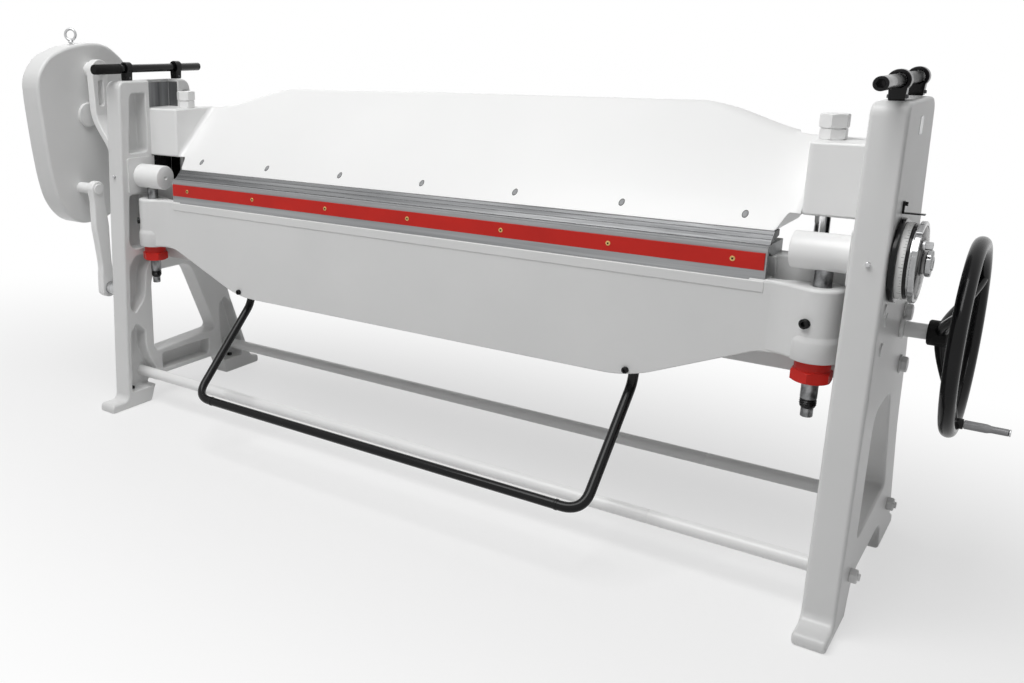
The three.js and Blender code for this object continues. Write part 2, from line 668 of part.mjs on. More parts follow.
function addHandwheel(hubStart) {
  const hubRadius = 31;
  const hubLength = 44;
  const spokeRadius = 10;
  const spokeRootRadius = 13;
  const spokeSides = 10;
  const spokeDegrees = [-90, 30, 150];
  const rimAt = frameOuter + wheelOut;
  const hubEnd = hubStart + hubLength;
  const centre = [shaftBehind, shaftHeight];
  const crankIn = 11;
  const crankBossRadius = 13;
  const crankBossLength = 24;
  const rimSection = 9;
  const rimSteps = 32;
  const rim = new THREE.TorusGeometry(wheelRadius, rimRadius, rimSection, rimSteps);
  rim.applyMatrix4(new THREE.Matrix4().makeBasis(...axisBasis.x));
  rim.translate(rimAt, ...centre);
  const spokes = spokeDegrees.map((degrees) => {
    const angle = THREE.MathUtils.degToRad(degrees);
    const at = (x, radius) => new THREE.Vector3(x, Math.cos(angle) * radius, Math.sin(angle) * radius);
    const from = at(hubEnd - spokeRootRadius, shaftRadius);
    const run = at(rimAt, wheelRadius).sub(from);
    const spoke = new THREE.CylinderGeometry(spokeRadius, spokeRootRadius, run.length(), spokeSides);
    spoke.translate(0, run.length() / 2, 0);
    const upright = new THREE.Vector3(0, 1, 0);
    spoke.applyQuaternion(new THREE.Quaternion().setFromUnitVectors(upright, run.normalize()));
    spoke.translate(from.x, from.y + centre[0], from.z + centre[1]);
    return solidOf(spoke);
  });
  const crankCentre = [shaftBehind, shaftHeight - wheelRadius + crankIn];
  const crankBoss = rod('x', crankBossRadius, rimAt, rimAt + crankBossLength, crankCentre, smallSides);
  const pinRadius = 6;
  const handleRadius = 11;
  const handleLength = 90;
  const pinHead = 4;
  const pinHeadRadius = 9;
  const handleStart = rimAt + crankBossLength + runningGap;
  const pinSeat = rimAt + crankBossLength / 2;
  const hub = rod('x', hubRadius, hubStart, hubEnd, centre);
  const wheel = cut(joined([solidOf(rim), ...spokes, hub, crankBoss]), [
    rod('x', shaftRadius + seatGap, hubStart - overrun, hubEnd + overrun, centre),
    rod('x', pinRadius + seatGap, pinSeat, rimAt + crankBossLength + overrun, crankCentre, smallSides),
  ]);
  addPart('handwheel', wheel, finish.black);
  const handleEnd = handleStart + handleLength;
  const headStart = handleEnd + runningGap;
  const pin = rod('x', pinRadius, pinSeat + seatGap, headStart, crankCentre, smallSides)
    .add(rod('x', pinHeadRadius, headStart, headStart + pinHead, crankCentre, smallSides));
  addPart('crank_pin', pin, finish.steel);
  const handle = tube('x', handleRadius, pinRadius + runningGap, handleStart, handleEnd, crankCentre);
  addPart('crank_handle', handle, finish.chrome);
}

// Trunnions that turn in the frames, with the studs that hang from them
function addTrunnions() {
  const face = halfGap - bearingProud - runningGap;
  const shaftProudLeft = 43;
  const shaftProudRight = 60;
  ['left', 'right'].forEach((name, index) => {
    const side = index === 0 ? -1 : 1;
    const shaftEnd = frameOuter + (index === 0 ? shaftProudLeft : shaftProudRight);
    const axis = [0, foldHeight];
    const stud = [side * studPlace, 0];
    const studTop = foldHeight - studTopBelowAxis;
    const body = rod('x', trunnionRadius, side * (face - trunnionLength), side * face, axis, trunnionSides)
      .add(rod('x', trunnionShaftRadius, side * (face - overrun), side * shaftEnd, axis));
    const underSide = foldHeight - trunnionRadius - overrun;
    const seat = rod('z', studRadius + seatGap, underSide, studTop + seatGap, stud);
    addPart(`trunnion_${name}`, body.subtract(seat), finish.castWhite);
    addPart(`hinge_stud_${name}`, rod('z', studRadius, studTop - studLength, studTop, stud), finish.black);
    addAdjustingNut(name, stud);
  });
}

function addAdjustingNut(name, centre) {
  const nutFlats = 84;
  const nutHeight = 30;
  const shoulderRadius = 40;
  const shoulderHeight = 24;
  const top = foldHeight - beamEndDepth - seatGap;
  const bottom = top - nutHeight - shoulderHeight;
  const nut = hexagon('z', nutFlats, bottom, top - shoulderHeight, centre)
    .add(rod('z', shoulderRadius, top - shoulderHeight - seatGap, top, centre));
  const bore = rod('z', studRadius + runningGap, bottom - overrun, top + overrun, centre);
  addPart(`adjusting_nut_${name}`, nut.subtract(bore), finish.red);
}

// Folding beam: a deep plate with a top flange, ribs behind and a round boss at each end
function addFoldingBeam() {
  const flangeHeight = 28;
  const flangeBack = 60;
  const bandProud = 2;
  const ribThickness = 14;
  const ribDepth = 190;
  const ribShares = [-0.87, -0.58, -0.29, 0, 0.29, 0.58, 0.87];
  const neck = 40;
  const armHalfShare = 0.94;
  const armInset = 18;
  const bossSides = 28;
  const top = foldHeight - barTopDrop - barHeight - seatGap;
  const bottom = foldHeight - beamDepth;
  const endBottom = foldHeight - beamEndDepth;
  const endTop = foldHeight - bossTopDrop;
  const web = plate('y', [
    [top, -halfBlade], [endBottom, -halfBlade], [bottom, -beamBottomHalf], [bottom, beamBottomHalf],
    [endBottom, halfBlade], [top, halfBlade],
  ], -beamFront, beamBack);
  const band = box([-halfBlade, halfBlade], [-beamFront - bandProud, flangeBack], [top - flangeHeight, top]);
  const ribs = ribShares.map((share) => plate('x', [
    [beamBack - seatGap, top - flangeHeight / 2], [flangeBack, top - flangeHeight / 2],
    [flangeBack, top - flangeHeight], [beamBack, top - flangeHeight - ribDepth],
    [beamBack - seatGap, top - flangeHeight - ribDepth],
  ], share * halfBlade - ribThickness / 2, share * halfBlade + ribThickness / 2));
  const ends = [-1, 1].map((side) => {
    const centre = [side * studPlace, 0];
    const start = side * (halfBlade + seatGap);
    const armEnd = side * (studPlace - armInset);
    const armHalf = bossRadius * armHalfShare;
    const arm = plate('z', [
      [start, -beamFront], [side * (halfBlade + neck), -beamFront, neck], [armEnd, -armHalf],
      [armEnd, armHalf], [side * (halfBlade + neck), beamBack, neck], [start, beamBack],
    ], endBottom, endTop);
    const root = plate('z', [
      [side * (halfBlade - neck), -beamFront], [start + side * seatGap, -beamFront],
      [start + side * seatGap, beamBack], [side * (halfBlade - neck), beamBack],
    ], endBottom, top);
    const boss = rod('z', bossRadius, endBottom, endTop, centre, bossSides);
    const collar = rod('z', collarRadius, endBottom, endBottom + collarHeight, centre, bossSides);
    return joined([arm, root, boss, collar]);
  });
  const bores = [-1, 1].map((side) => rod('z', studRadius + runningGap, endBottom - overrun, endTop + overrun,
    [side * studPlace, 0]));
  const clampHoles = addClampScrews(endBottom);
  const bail = addBailHandle(bottom);
  const body = joined([web, band, ...ribs, ...ends, ...bail.pads]);
  addPart('folding_beam', cut(body, [...bores, ...clampHoles, ...bail.holes]), finish.castGrey);
  addFoldingBar();
}

// Screws through the bosses, which lock the beam on its studs
function addClampScrews(endBottom) {
  const headRadius = 12;
  const headHeight = 16;
  const shankRadius = 8;
  const heightShare = 0.53;
  const screwHeight = endBottom + heightShare * (beamEndDepth - bossTopDrop);
  const wallLeft = 4;
  const turnDegrees = [-40, -18];
  const inner = studRadius + runningGap + wallLeft;
  const seat = -bossRadius - seatGap;
  return ['left', 'right'].map((name, index) => {
    const side = index === 0 ? -1 : 1;
    const place = (solid) => solid.rotate([0, 0, turnDegrees[index]])
      .translate([side * studPlace, 0, screwHeight]);
    const head = rod('y', headRadius, seat - headHeight, seat, [0, 0], smallSides)
      .subtract(hexagon('y', headRadius, seat - headHeight - overrun, seat - headHeight / 2));
    const shank = rod('y', shankRadius, seat - overrun / 2, -inner - seatGap, [0, 0], smallSides);
    addPart(`stud_clamp_screw_${name}`, place(head.add(shank)), finish.black);
    return place(rod('y', shankRadius + seatGap, seat - overrun, -inner, [0, 0], smallSides));
  });
}

// Bail handle: one bent pipe, its ends screwed to pads behind the beam
function addBailHandle(beamBottom) {
  const pipeRadius = 14;
  const armPlace = 700;
  const pipeBehind = 48;
  const padHeight = 64;
  const padWidth = 34;
  const armTop = beamBottom + 62;
  const elbow = beamBottom - 30;
  const gripFront = 242;
  const gripDrop = 307;
  const elbowBend = 30;
  const cornerBend = 55;
  const pipeSides = 10;
  const screwRise = 19;
  const screwRadius = 5;
  const headRadius = 9;
  const headHeight = 9;
  const route = [-1, 1].map((side) => [
    new THREE.Vector3(side * armPlace, pipeBehind, armTop),
    new THREE.Vector3(side * armPlace, pipeBehind, elbow),
    new THREE.Vector3(side * armPlace, -gripFront, beamBottom - gripDrop),
  ]);
  const pipe = bentPipe(pipeRadius, [...route[0], ...route[1].reverse()],
    [elbowBend, cornerBend, cornerBend, elbowBend], pipeSides);
  addPart('bail_handle', pipe, finish.black);
  const screwAt = (side, radius, from, to) => (
    rod('y', radius, from, to, [beamBottom + screwRise, side * armPlace], smallSides)
  );
  const pads = [-1, 1].map((side) => box(
    [side * armPlace - padWidth / 2, side * armPlace + padWidth / 2],
    [beamBack - overrun, pipeBehind - pipeRadius - seatGap],
    [beamBottom + overrun, beamBottom + padHeight],
  ));
  const holes = [-1, 1].map((side) => screwAt(side, screwRadius + seatGap, -beamFront - overrun, pipeBehind));
  [-1, 1].forEach((side) => {
    const head = screwAt(side, headRadius, -beamFront - seatGap - headHeight, -beamFront - seatGap);
    const shank = screwAt(side, screwRadius, -beamFront - overrun / 2, pipeBehind - pipeRadius - 2 * seatGap);
    addPart(side < 0 ? 'bail_screw_left' : 'bail_screw_right', head.add(shank), finish.black);
  });
  return { pads, holes };
}

function addFoldingBar() {
  const top = foldHeight - barTopDrop;
  const stripTop = foldHeight - stripTopDrop;
  const stripHalf = halfBlade - stripEndInset;
  const bar = box([-halfBlade, halfBlade], [-barThickness, -seatGap], [top - barHeight, top]);
  addPart('folding_bar', bar, finish.blade);
  const stripBack = -barThickness - seatGap;
  const strip = box([-stripHalf, stripHalf], [stripBack - stripThickness, stripBack],
    [stripTop - stripHeight, stripTop]);
  addPart('red_strip', strip, finish.red);
}

// Counterweight, the slotted lever that carries it, and the guide link that keeps it upright
const leverIn = 4;
const leverThickness = 35;
const guideIn = 48;
const guideThickness = 32;
const upperLinkIn = 88;
const upperLinkThickness = 35;
const linkPinRadius = 12;
const weightPivot = [-linkLean, foldHeight + linkRise];
const guidePivot = [-guidePivotFront, guidePivotHeight];
const guideTop = [-guidePivotFront - linkLean, guidePivotHeight + linkRise];
const outside = (distance) => -(frameOuter + distance);

function addLever() {
  const hubRadius = 45;
  const headRadius = 38;
  const footRadius = 30;
  const armHalf = 25;
  const slotHalf = 7;
  const kneeDrop = 160;
  const slotTopDrop = 30;
  const slotBottomDrop = 128;
  const shoulder = 30;
  const frontSwell = 36;
  const backSwell = 45;
  const knee = [weightPivot[0], weightPivot[1] - kneeDrop];
  const span = (inward, thickness) => [outside(inward), outside(inward + thickness)];
  const lower = span(leverIn, leverThickness);
  const upper = span(upperLinkIn, upperLinkThickness);
  const lowerArm = plate('x', [
    [knee[0] - shoulder, knee[1]], [knee[0] - frontSwell, knee[1] - kneeDrop / 2], [-hubRadius, foldHeight],
    [hubRadius, foldHeight], [knee[0] + backSwell, knee[1] - kneeDrop / 2], [knee[0] + shoulder, knee[1]],
  ], ...lower);
  const kneeBlock = box([lower[0], upper[1]], [knee[0] - shoulder, knee[0] + shoulder],
    [knee[1] - shoulder, knee[1]]);
  const upperArm = plate('x', [
    [weightPivot[0] - armHalf, weightPivot[1]], [knee[0] - armHalf, knee[1] - shoulder],
    [knee[0] + armHalf, knee[1] - shoulder], [weightPivot[0] + armHalf, weightPivot[1]],
  ], ...upper);
  const slot = plate('x', [
    [weightPivot[0] - slotHalf, weightPivot[1] - slotBottomDrop, slotHalf],
    [weightPivot[0] + slotHalf, weightPivot[1] - slotBottomDrop, slotHalf],
    [weightPivot[0] + slotHalf, weightPivot[1] - slotTopDrop, slotHalf],
    [weightPivot[0] - slotHalf, weightPivot[1] - slotTopDrop, slotHalf],
  ], upper[0] + overrun, upper[1] - overrun);
  const lever = joined([
    rod('x', hubRadius, ...lower, [0, foldHeight]),
    lowerArm,
    kneeBlock,
    upperArm,
    rod('x', headRadius, ...upper, weightPivot),
    rod('x', footRadius, ...upper, [weightPivot[0], weightPivot[1] - slotBottomDrop - footRadius / 2]),
  ]);
  addPart('counterweight_lever', cut(lever, [
    slot,
    rod('x', trunnionShaftRadius + seatGap, lower[0] + overrun, lower[1] - overrun, [0, foldHeight]),
    rod('x', linkPinRadius + runningGap, upper[0] + overrun, upper[1] - overrun, weightPivot),
  ]), finish.castWhite);
}

function addGuideLink() {
  const footRadius = 38;
  const topRadius = 30;
  const waistShare = 0.26;
  const bellyShare = 0.6;
  const waistHalf = 24;
  const bellyHalf = 31;
  const span = [outside(guideIn), outside(guideIn + guideThickness)];
  const along = (share, offset) => [
    guidePivot[0] + share * (guideTop[0] - guidePivot[0]) + offset,
    guidePivot[1] + share * (guideTop[1] - guidePivot[1]),
    waistHalf,
  ];
  const blade = plate('x', [
    along(0, -footRadius), along(0, footRadius), along(waistShare, waistHalf), along(bellyShare, bellyHalf),
    along(1, topRadius), along(1, -topRadius), along(bellyShare, -bellyHalf), along(waistShare, -waistHalf),
  ], ...span);
  const foot = rod('x', footRadius, ...span, guidePivot);
  const link = joined([blade, foot, rod('x', topRadius, ...span, guideTop)]);
  addPart('guide_link', cut(link, [
    rod('x', shaftRadius + runningGap, span[0] + overrun, span[1] - overrun, guidePivot),
    rod('x', linkPinRadius + runningGap, span[0] + overrun, span[1] - overrun, guideTop),
  ]), finish.castWhite);
  const shoulderRadius = 24;
  const headRadius = 20;
  const headHeight = 5;
  addPart('guide_pivot_pin', joined([
    rod('x', shaftRadius, outside(-frameWeb), span[1] - headHeight - runningGap, guidePivot, smallSides),
    rod('x', shoulderRadius, outside(seatGap), span[0] + runningGap, guidePivot),
    rod('x', headRadius, span[1] - runningGap, span[1] - headHeight - runningGap, guidePivot, smallSides),
  ]), finish.steel);
}

// Outline of the counterweight from its pivot, as shares of its width and height
const weightWidth = 462;
const weightHeight = 681;
const weightOutlineShares = [
  [-0.524, -0.032], [-0.405, 0.075], [-0.195, 0.128], [0.050, 0.148], [0.206, 0.132], [0.381, 0.044],
  [0.476, -0.066], [0.459, -0.242], [0.368, -0.565], [0.273, -0.742], [0.152, -0.830], [-0.011, -0.850],
  [-0.141, -0.852], [-0.242, -0.827], [-0.327, -0.774], [-0.398, -0.695], [-0.442, -0.580],
  [-0.478, -0.414], [-0.519, -0.147],
];

function addCounterweight() {
  const roundShare = 0.08;
  const edge = 9;
  const recessShare = 0.84;
  const recessCentreShare = -0.36;
  const recessDepth = 62;
  const ringRadius = 45;
  const ringProud = 12;
  const ringDrop = 166;
  const pinSeat = 40;
  const near = outside(weightOut);
  const far = near - weightThickness;
  const place = (grow) => weightOutlineShares.map(([y, z]) => [
    weightPivot[0] + y * weightWidth * grow,
    weightPivot[1] + (recessCentreShare + (z - recessCentreShare) * grow) * weightHeight,
    roundShare * weightWidth,
  ]);
  const insetShare = 1 - edge / (weightWidth / 2);
  const ringCentre = [weightPivot[0] - ringRadius / 2, weightPivot[1] - ringDrop];
  const body = joined([
    plate('x', place(1), near - edge, far + edge, coarseSteps),
    plate('x', place(insetShare), near, far, coarseSteps),
    rod('x', ringRadius, near + ringProud, near - edge, ringCentre),
  ]);
  const eyeBehind = 40;
  const eyeAcross = near - weightThickness / 2;
  const eyePlace = weightPivot[0] - eyeBehind;
  const topHeight = weightPivot[1] + weightOutlineShares[3][1] * weightHeight;
  const eyeSeat = topHeight - recessDepth / 2;
  const shankRadius = 6;
  const holes = [
    plate('x', place(recessShare), far - overrun, far + recessDepth, coarseSteps),
    rod('x', linkPinRadius + seatGap, near + overrun, near - pinSeat, weightPivot, smallSides),
    rod('x', linkPinRadius + seatGap, near + overrun, near - pinSeat, guideTop, smallSides),
    rod('z', shankRadius + seatGap, eyeSeat, topHeight + overrun, [eyeAcross, eyePlace], smallSides),
  ];
  addPart('counterweight', cut(body, holes), finish.castGrey);

  const head = 4;
  const headRadius = 20;
  const spacerRadius = 30;
  const leverFace = outside(upperLinkIn);
  const leverBack = outside(upperLinkIn + upperLinkThickness);
  addPart('weight_pin', joined([
    rod('x', linkPinRadius, leverFace + runningGap + head, near - pinSeat + seatGap, weightPivot, smallSides),
    rod('x', headRadius, leverFace + runningGap + head, leverFace + runningGap, weightPivot, smallSides),
    rod('x', spacerRadius, leverBack - runningGap, near + seatGap, weightPivot),
  ]), finish.castWhite);
  const guideFace = outside(guideIn);
  const guideBack = outside(guideIn + guideThickness);
  addPart('guide_top_pin', joined([
    rod('x', linkPinRadius, guideFace + runningGap + head, near - pinSeat + seatGap, guideTop, smallSides),
    rod('x', headRadius, guideFace + runningGap + head, guideFace + runningGap, guideTop, smallSides),
    rod('x', headRadius, guideBack - runningGap, near + seatGap, guideTop, smallSides),
  ]), finish.steel);
  addEyeBolt(eyeAcross, eyePlace, eyeSeat, shankRadius);
}

function addEyeBolt(x, y, seat, shankRadius) {
  const eyeRadius = 20;
  const wireRadius = 5;
  const topHeight = weightPivot[1] + weightOutlineShares[3][1] * weightHeight;
  const centreRise = 28;
  const wireSides = 8;
  const eyeSteps = 24;
  const ring = new THREE.TorusGeometry(eyeRadius, wireRadius, wireSides, eyeSteps);
  ring.rotateX(Math.PI / 2);
  ring.rotateZ(Math.PI / 6);
  ring.translate(x, y, topHeight + centreRise);
  const shank = rod('z', shankRadius, seat + seatGap, topHeight + centreRise - eyeRadius, [x, y], smallSides);
  addPart('lifting_eye', solidOf(ring).add(shank), finish.steel);
}

// Angle dial on the right trunnion, its adjustable stop ring and the stop on the frame
function addDial() {
  const axis = [0, foldHeight];
  const discRadius = 95;
  const scaleRadius = 86;
  const stopRadius = 91;
  const bore = trunnionShaftRadius + seatGap;
  const discOut = 2;
  const discThickness = 11;
  const scaleThickness = 21;
  const stopThickness = 21;
  const at = (distance) => frameOuter + distance;
  const discSpan = [at(discOut), at(discOut + discThickness)];
  const scaleSpan = [discSpan[1] + seatGap, discSpan[1] + scaleThickness];
  const stopSpan = [scaleSpan[1] + runningGap, scaleSpan[1] + stopThickness];
  const neckRadius = 80;
  const neckLength = 5;
  addPart('dial_disc', tube('x', discRadius, bore, ...discSpan, axis, discSides), finish.black);
  addPart('dial_scale', tube('x', scaleRadius, bore, ...scaleSpan, axis, discSides), finish.scale);
  const lugWidth = 18;
  const lugProud = 6;
  const lugAngle = 35;
  const ringBore = trunnionShaftRadius + runningGap;
  const ring = tube('x', stopRadius, ringBore, stopSpan[0] + neckLength, stopSpan[1], axis, discSides)
    .add(tube('x', neckRadius, ringBore, ...stopSpan, axis, discSides));
  const lug = box([stopSpan[0] + neckLength, stopSpan[1]], [-lugWidth / 2, lugWidth / 2],
    [neckRadius, stopRadius + lugProud]).rotate([lugAngle, 0, 0]).translate([0, 0, foldHeight]);
  const screwRadius = 8;
  const screwOut = 26;
  const screwShares = [-0.46, 0.5];
  const screwCentre = [screwShares[0] * stopRadius, foldHeight + screwShares[1] * stopRadius];
  const screwSeat = stopSpan[0] + neckLength;
  const hole = rod('x', screwRadius / 2 + seatGap, screwSeat, stopSpan[1] + overrun, screwCentre, smallSides);
  addPart('stop_ring', cut(ring.add(lug), [hole]), finish.chrome);
  addPart('stop_ring_screw', joined([
    rod('x', screwRadius / 2, screwSeat + seatGap, stopSpan[1] + screwOut, screwCentre, smallSides),
    hexagon('x', screwRadius * 2, stopSpan[1] + seatGap, stopSpan[1] + screwOut / 2, screwCentre),
  ]), finish.steel);
  const capRadius = 30;
  const capHeight = 8;
  const knobRadius = 18;
  const knobHeight = 16;
  const capOut = 60;
  const capStart = at(capOut) + seatGap;
  const capEnd = capStart + capHeight;
  addPart('dial_cap', joined([
    rod('x', capRadius, capStart, capEnd, axis),
    rod('x', knobRadius, capEnd - seatGap, capEnd + knobHeight, axis, smallSides),
  ]), finish.chrome);

  const gap = 3;
  const fingerWidth = 14;
  const fingerTop = discRadius + 34;
  const low = foldHeight + discRadius + lugProud + gap;
  const footHeight = 12;
  addPart('fixed_stop', joined([
    box([at(seatGap), stopSpan[1]], [-fingerWidth / 2, fingerWidth / 2], [low, low + fingerWidth]),
    box([at(seatGap), at(footHeight)], [-fingerWidth / 2, fingerWidth * 2], [low, foldHeight + fingerTop]),
  ]), finish.black);
}

// Loose lever bars, stored in clamps on top of the frames
function addLeverBars() {
  const barRadius = 15;
  const barLength = 520;
  const socketRadius = 8;
  const socketDepth = 30;
  const gripRadius = 18;
  const gripLength = 118;
  const gripCap = 4;
  const barRise = 43;
  const ringRadius = 24;
  const clampWidth = 26;
  const baseHalf = 16;
  const clampFront = 10;
  const clampBack = 238;
  const leftBarFront = 160;
  const rightBarFront = 225;
  const across = halfGap + frameThickness / 2;
  const height = frameHeight + barRise;
  ['left', 'right'].forEach((name, index) => {
    const x = (index === 0 ? -1 : 1) * across;
    const start = index === 0 ? -leftBarFront : -rightBarFront;
    const centre = [height, x];
    const bar = rod('y', barRadius, start, start + barLength, centre)
      .subtract(hexagon('y', socketRadius * 2, start - overrun, start + socketDepth, centre));
    addPart(`lever_bar_${name}`, bar, finish.black);
    if (name === 'left') {
      const grip = rod('y', gripRadius, start - gripCap, start + gripLength, centre)
        .subtract(rod('y', barRadius + seatGap, start - seatGap, start + gripLength + overrun, centre))
        .subtract(hexagon('y', socketRadius * 2, start - gripCap - overrun, start, centre));
      addPart('lever_bar_grip', grip, finish.rubber);
    }
    ['front', 'rear'].forEach((position, order) => {
      const place = order === 0 ? -clampFront : clampBack;
      const span = [place - clampWidth / 2, place + clampWidth / 2];
      const foot = box([x - baseHalf, x + baseHalf], span, [frameHeight + seatGap, height - barRadius]);
      const clamp = rod('y', ringRadius, ...span, centre).add(foot)
        .subtract(rod('y', barRadius + seatGap, span[0] - overrun, span[1] + overrun, centre));
      addPart(`bar_clamp_${name}_${position}`, clamp, finish.black);
    });
  });
}

addFrames();
addBed();
addClampingBeam();
addDrive();
addTrunnions();
addFoldingBeam();
addLever();
addGuideLink();
addCounterweight();
addDial();
addLeverBars();

// Put the origin at the middle of the footprint, on the floor
const bounds = new THREE.Box3().setFromObject(machine);
const middle = bounds.getCenter(new THREE.Vector3());
machine.position.set(-middle.x, -middle.y, -bounds.min.z);

const part = new THREE.Group();
part.add(machine);

export default part;
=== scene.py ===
import math
import bpy
import bmesh
import numpy as np
from mathutils import Matrix, Vector


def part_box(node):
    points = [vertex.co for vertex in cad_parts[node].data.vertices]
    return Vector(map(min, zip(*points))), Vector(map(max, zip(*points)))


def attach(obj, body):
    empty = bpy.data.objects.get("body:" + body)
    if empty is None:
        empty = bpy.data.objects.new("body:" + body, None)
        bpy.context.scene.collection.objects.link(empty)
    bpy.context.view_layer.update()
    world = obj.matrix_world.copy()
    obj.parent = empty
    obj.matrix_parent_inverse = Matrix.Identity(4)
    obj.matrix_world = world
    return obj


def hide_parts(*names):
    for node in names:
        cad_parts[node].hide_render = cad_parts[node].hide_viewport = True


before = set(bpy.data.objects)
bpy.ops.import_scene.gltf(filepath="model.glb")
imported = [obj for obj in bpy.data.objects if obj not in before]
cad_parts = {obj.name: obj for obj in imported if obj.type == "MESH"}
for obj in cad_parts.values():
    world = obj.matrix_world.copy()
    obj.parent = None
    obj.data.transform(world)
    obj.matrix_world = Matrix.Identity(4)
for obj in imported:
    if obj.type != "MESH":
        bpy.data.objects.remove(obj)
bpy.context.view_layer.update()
print("frame loaded:", len(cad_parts), "nodes")

# Shapes are worked out in millimetres from the machine's own zero: the middle of the blades, on the
# fold line, at floor level. They become metres in the frame's coordinates when their mesh is made.
perMetre = 1000.0
fullTurn = 2 * math.pi
seatGap = 0.3
bothSides = ((-1, "left"), (1, "right"))
barBox = np.array(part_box("folding_bar")) * perMetre
zero = np.array([barBox[:, 0].mean(), barBox[1, 1] + seatGap, 0.0])
foldHeight = barBox[1, 2] + 0.5
halfBlade = (barBox[1, 0] - barBox[0, 0]) / 2

# For each axis: where a shape's first, second and lengthwise measures go
axisOrder = {"x": (1, 2, 0), "y": (2, 0, 1), "z": (0, 1, 2)}


def ends(node):
    low, high = np.array(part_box(node)) * perMetre - zero
    return low, high


def centreOf(node, axis):
    low, high = ends(node)
    return ((low + high) / 2)[list(axisOrder[axis][:2])]


def spanOf(node, axis):
    low, high = ends(node)
    third = axisOrder[axis][2]
    return low[third], high[third]


# Closed skin over a grid of points: rows follow each other along the shape, columns go round it,
# and each face joins four neighbours. A ringed shape's last row joins its first.
def skin(points, ringed=False):
    rows, columns = points.shape[:2]
    index = np.arange(rows * columns).reshape(rows, columns)
    here = index if ringed else index[:-1]
    ahead = np.roll(index, -1, axis=0) if ringed else index[1:]
    quads = np.stack([here, np.roll(here, -1, axis=1), np.roll(ahead, -1, axis=1), ahead], axis=-1)
    faces = quads.reshape(-1, 4).tolist()
    if not ringed:
        faces.append(index[0][::-1].tolist())
        faces.append(index[-1].tolist())
    return points.reshape(-1, 3), faces


def together(*shapes):
    points = np.concatenate([shape[0] for shape in shapes])
    faces = []
    count = 0
    for vertices, polygons in shapes:
        faces.extend([[corner + count for corner in polygon] for polygon in polygons])
        count += len(vertices)
    return points, faces


def moved(shape, turn=None, shift=(0, 0, 0)):
    points = shape[0] if turn is None else shape[0] @ np.array(turn.to_3x3()).T
    return points + np.array(shift), shape[1]


# Turned shape: at each row along the axis the surface stands at that row's radius, which is one number
# for the whole row or one for each angle round the axis
def spun(axis, centre, rows, sides=48, ringed=False):
    angle = np.arange(sides) * fullTurn / sides
    along = np.array([row[0] for row in rows], float)
    radius = np.array([np.broadcast_to(row[1], sides) for row in rows], float)
    first, second, third = axisOrder[axis]
    points = np.empty((len(rows), sides, 3))
    points[..., first] = centre[0] + radius * np.cos(angle)
    points[..., second] = centre[1] + radius * np.sin(angle)
    points[..., third] = along[:, None]
    return skin(points, ringed)


# Rounded bar: near each end the radius falls by the edge's rounding times one minus the cosine of a turn
def barRows(radius, low, high, edge=1.5, steps=4):
    turn = np.linspace(math.pi / 2, 0, steps)
    start = [(low + edge * (1 - math.sin(t)), radius - edge * (1 - math.cos(t))) for t in turn[::-1]][::-1]
    finish = [(low + high - along, reach) for along, reach in start[::-1]]
    return start + finish


# Hexagon: half the width over flats divided by the cosine of the angle from the nearest flat's middle
def hexRing(flats, sides=48):
    angle = np.arange(sides) * fullTurn / sides
    return flats / 2 / np.cos((angle + math.pi / 6) % (math.pi / 3) - math.pi / 6)


# Nut or head: the hexagon is held inside a cone that opens by 30 degrees from each cut end
def hexRows(flats, low, high, sides=48, cutLow=True, cutHigh=True):
    steps = np.linspace(0, flats * 0.052, 5)
    cone = flats * 0.487 + steps / math.tan(math.pi / 6)
    cut = [(step, np.minimum(hexRing(flats, sides), limit)) for step, limit in zip(steps, cone)]
    rows = [(low + step, ring) for step, ring in cut] if cutLow else [(low, hexRing(flats, sides))]
    rows += [(high - step, ring) for step, ring in cut[::-1]] if cutHigh else [(high, hexRing(flats, sides))]
    return rows


# Head of a socket screw: down the hexagonal hole from its floor, over the rim and down the outside
def socketRows(radius, flats, top, floor, foot, sides=48):
    way = 1 if foot > top else -1
    hole = hexRing(flats, sides)
    return [(floor, hole), (top, hole), (top, radius - 1.6), (top + way * 0.5, radius - 0.6),
            (top + way * 1.6, radius), (foot, radius)]


# Screw thread: the radius falls and rises once each pitch, and that wave turns with the angle
def threadRows(radius, depth, pitch, low, high, sides=48, perPitch=6):
    angle = np.arange(sides) / sides
    rows = []
    for along in np.linspace(low, high, int((high - low) / pitch * perPitch)):
        wave = np.abs(2 * ((along / pitch - angle) % 1.0) - 1)
        fade = min(1.0, (along - low) / pitch, (high - along) / pitch)
        rows.append((along, radius - depth * (1 - fade + wave * fade)))
    return rows


# Pipe: a circle stands square to the path at each of its points
def carried(path, radius, upright, sides=24, ringed=False):
    if ringed:
        tangent = np.roll(path, -1, axis=0) - np.roll(path, 1, axis=0)
    else:
        tangent = np.gradient(path, axis=0)
    tangent /= np.linalg.norm(tangent, axis=1, keepdims=True)
    sideways = np.cross(tangent, upright)
    sideways /= np.linalg.norm(sideways, axis=1, keepdims=True)
    over = np.cross(sideways, tangent)
    angle = (np.arange(sides) * fullTurn / sides)[None, :, None]
    reach = np.broadcast_to(np.asarray(radius, float), len(path))[:, None, None]
    ring = np.cos(angle) * sideways[:, None] + np.sin(angle) * over[:, None]
    return skin(path[:, None] + reach * ring, ringed)


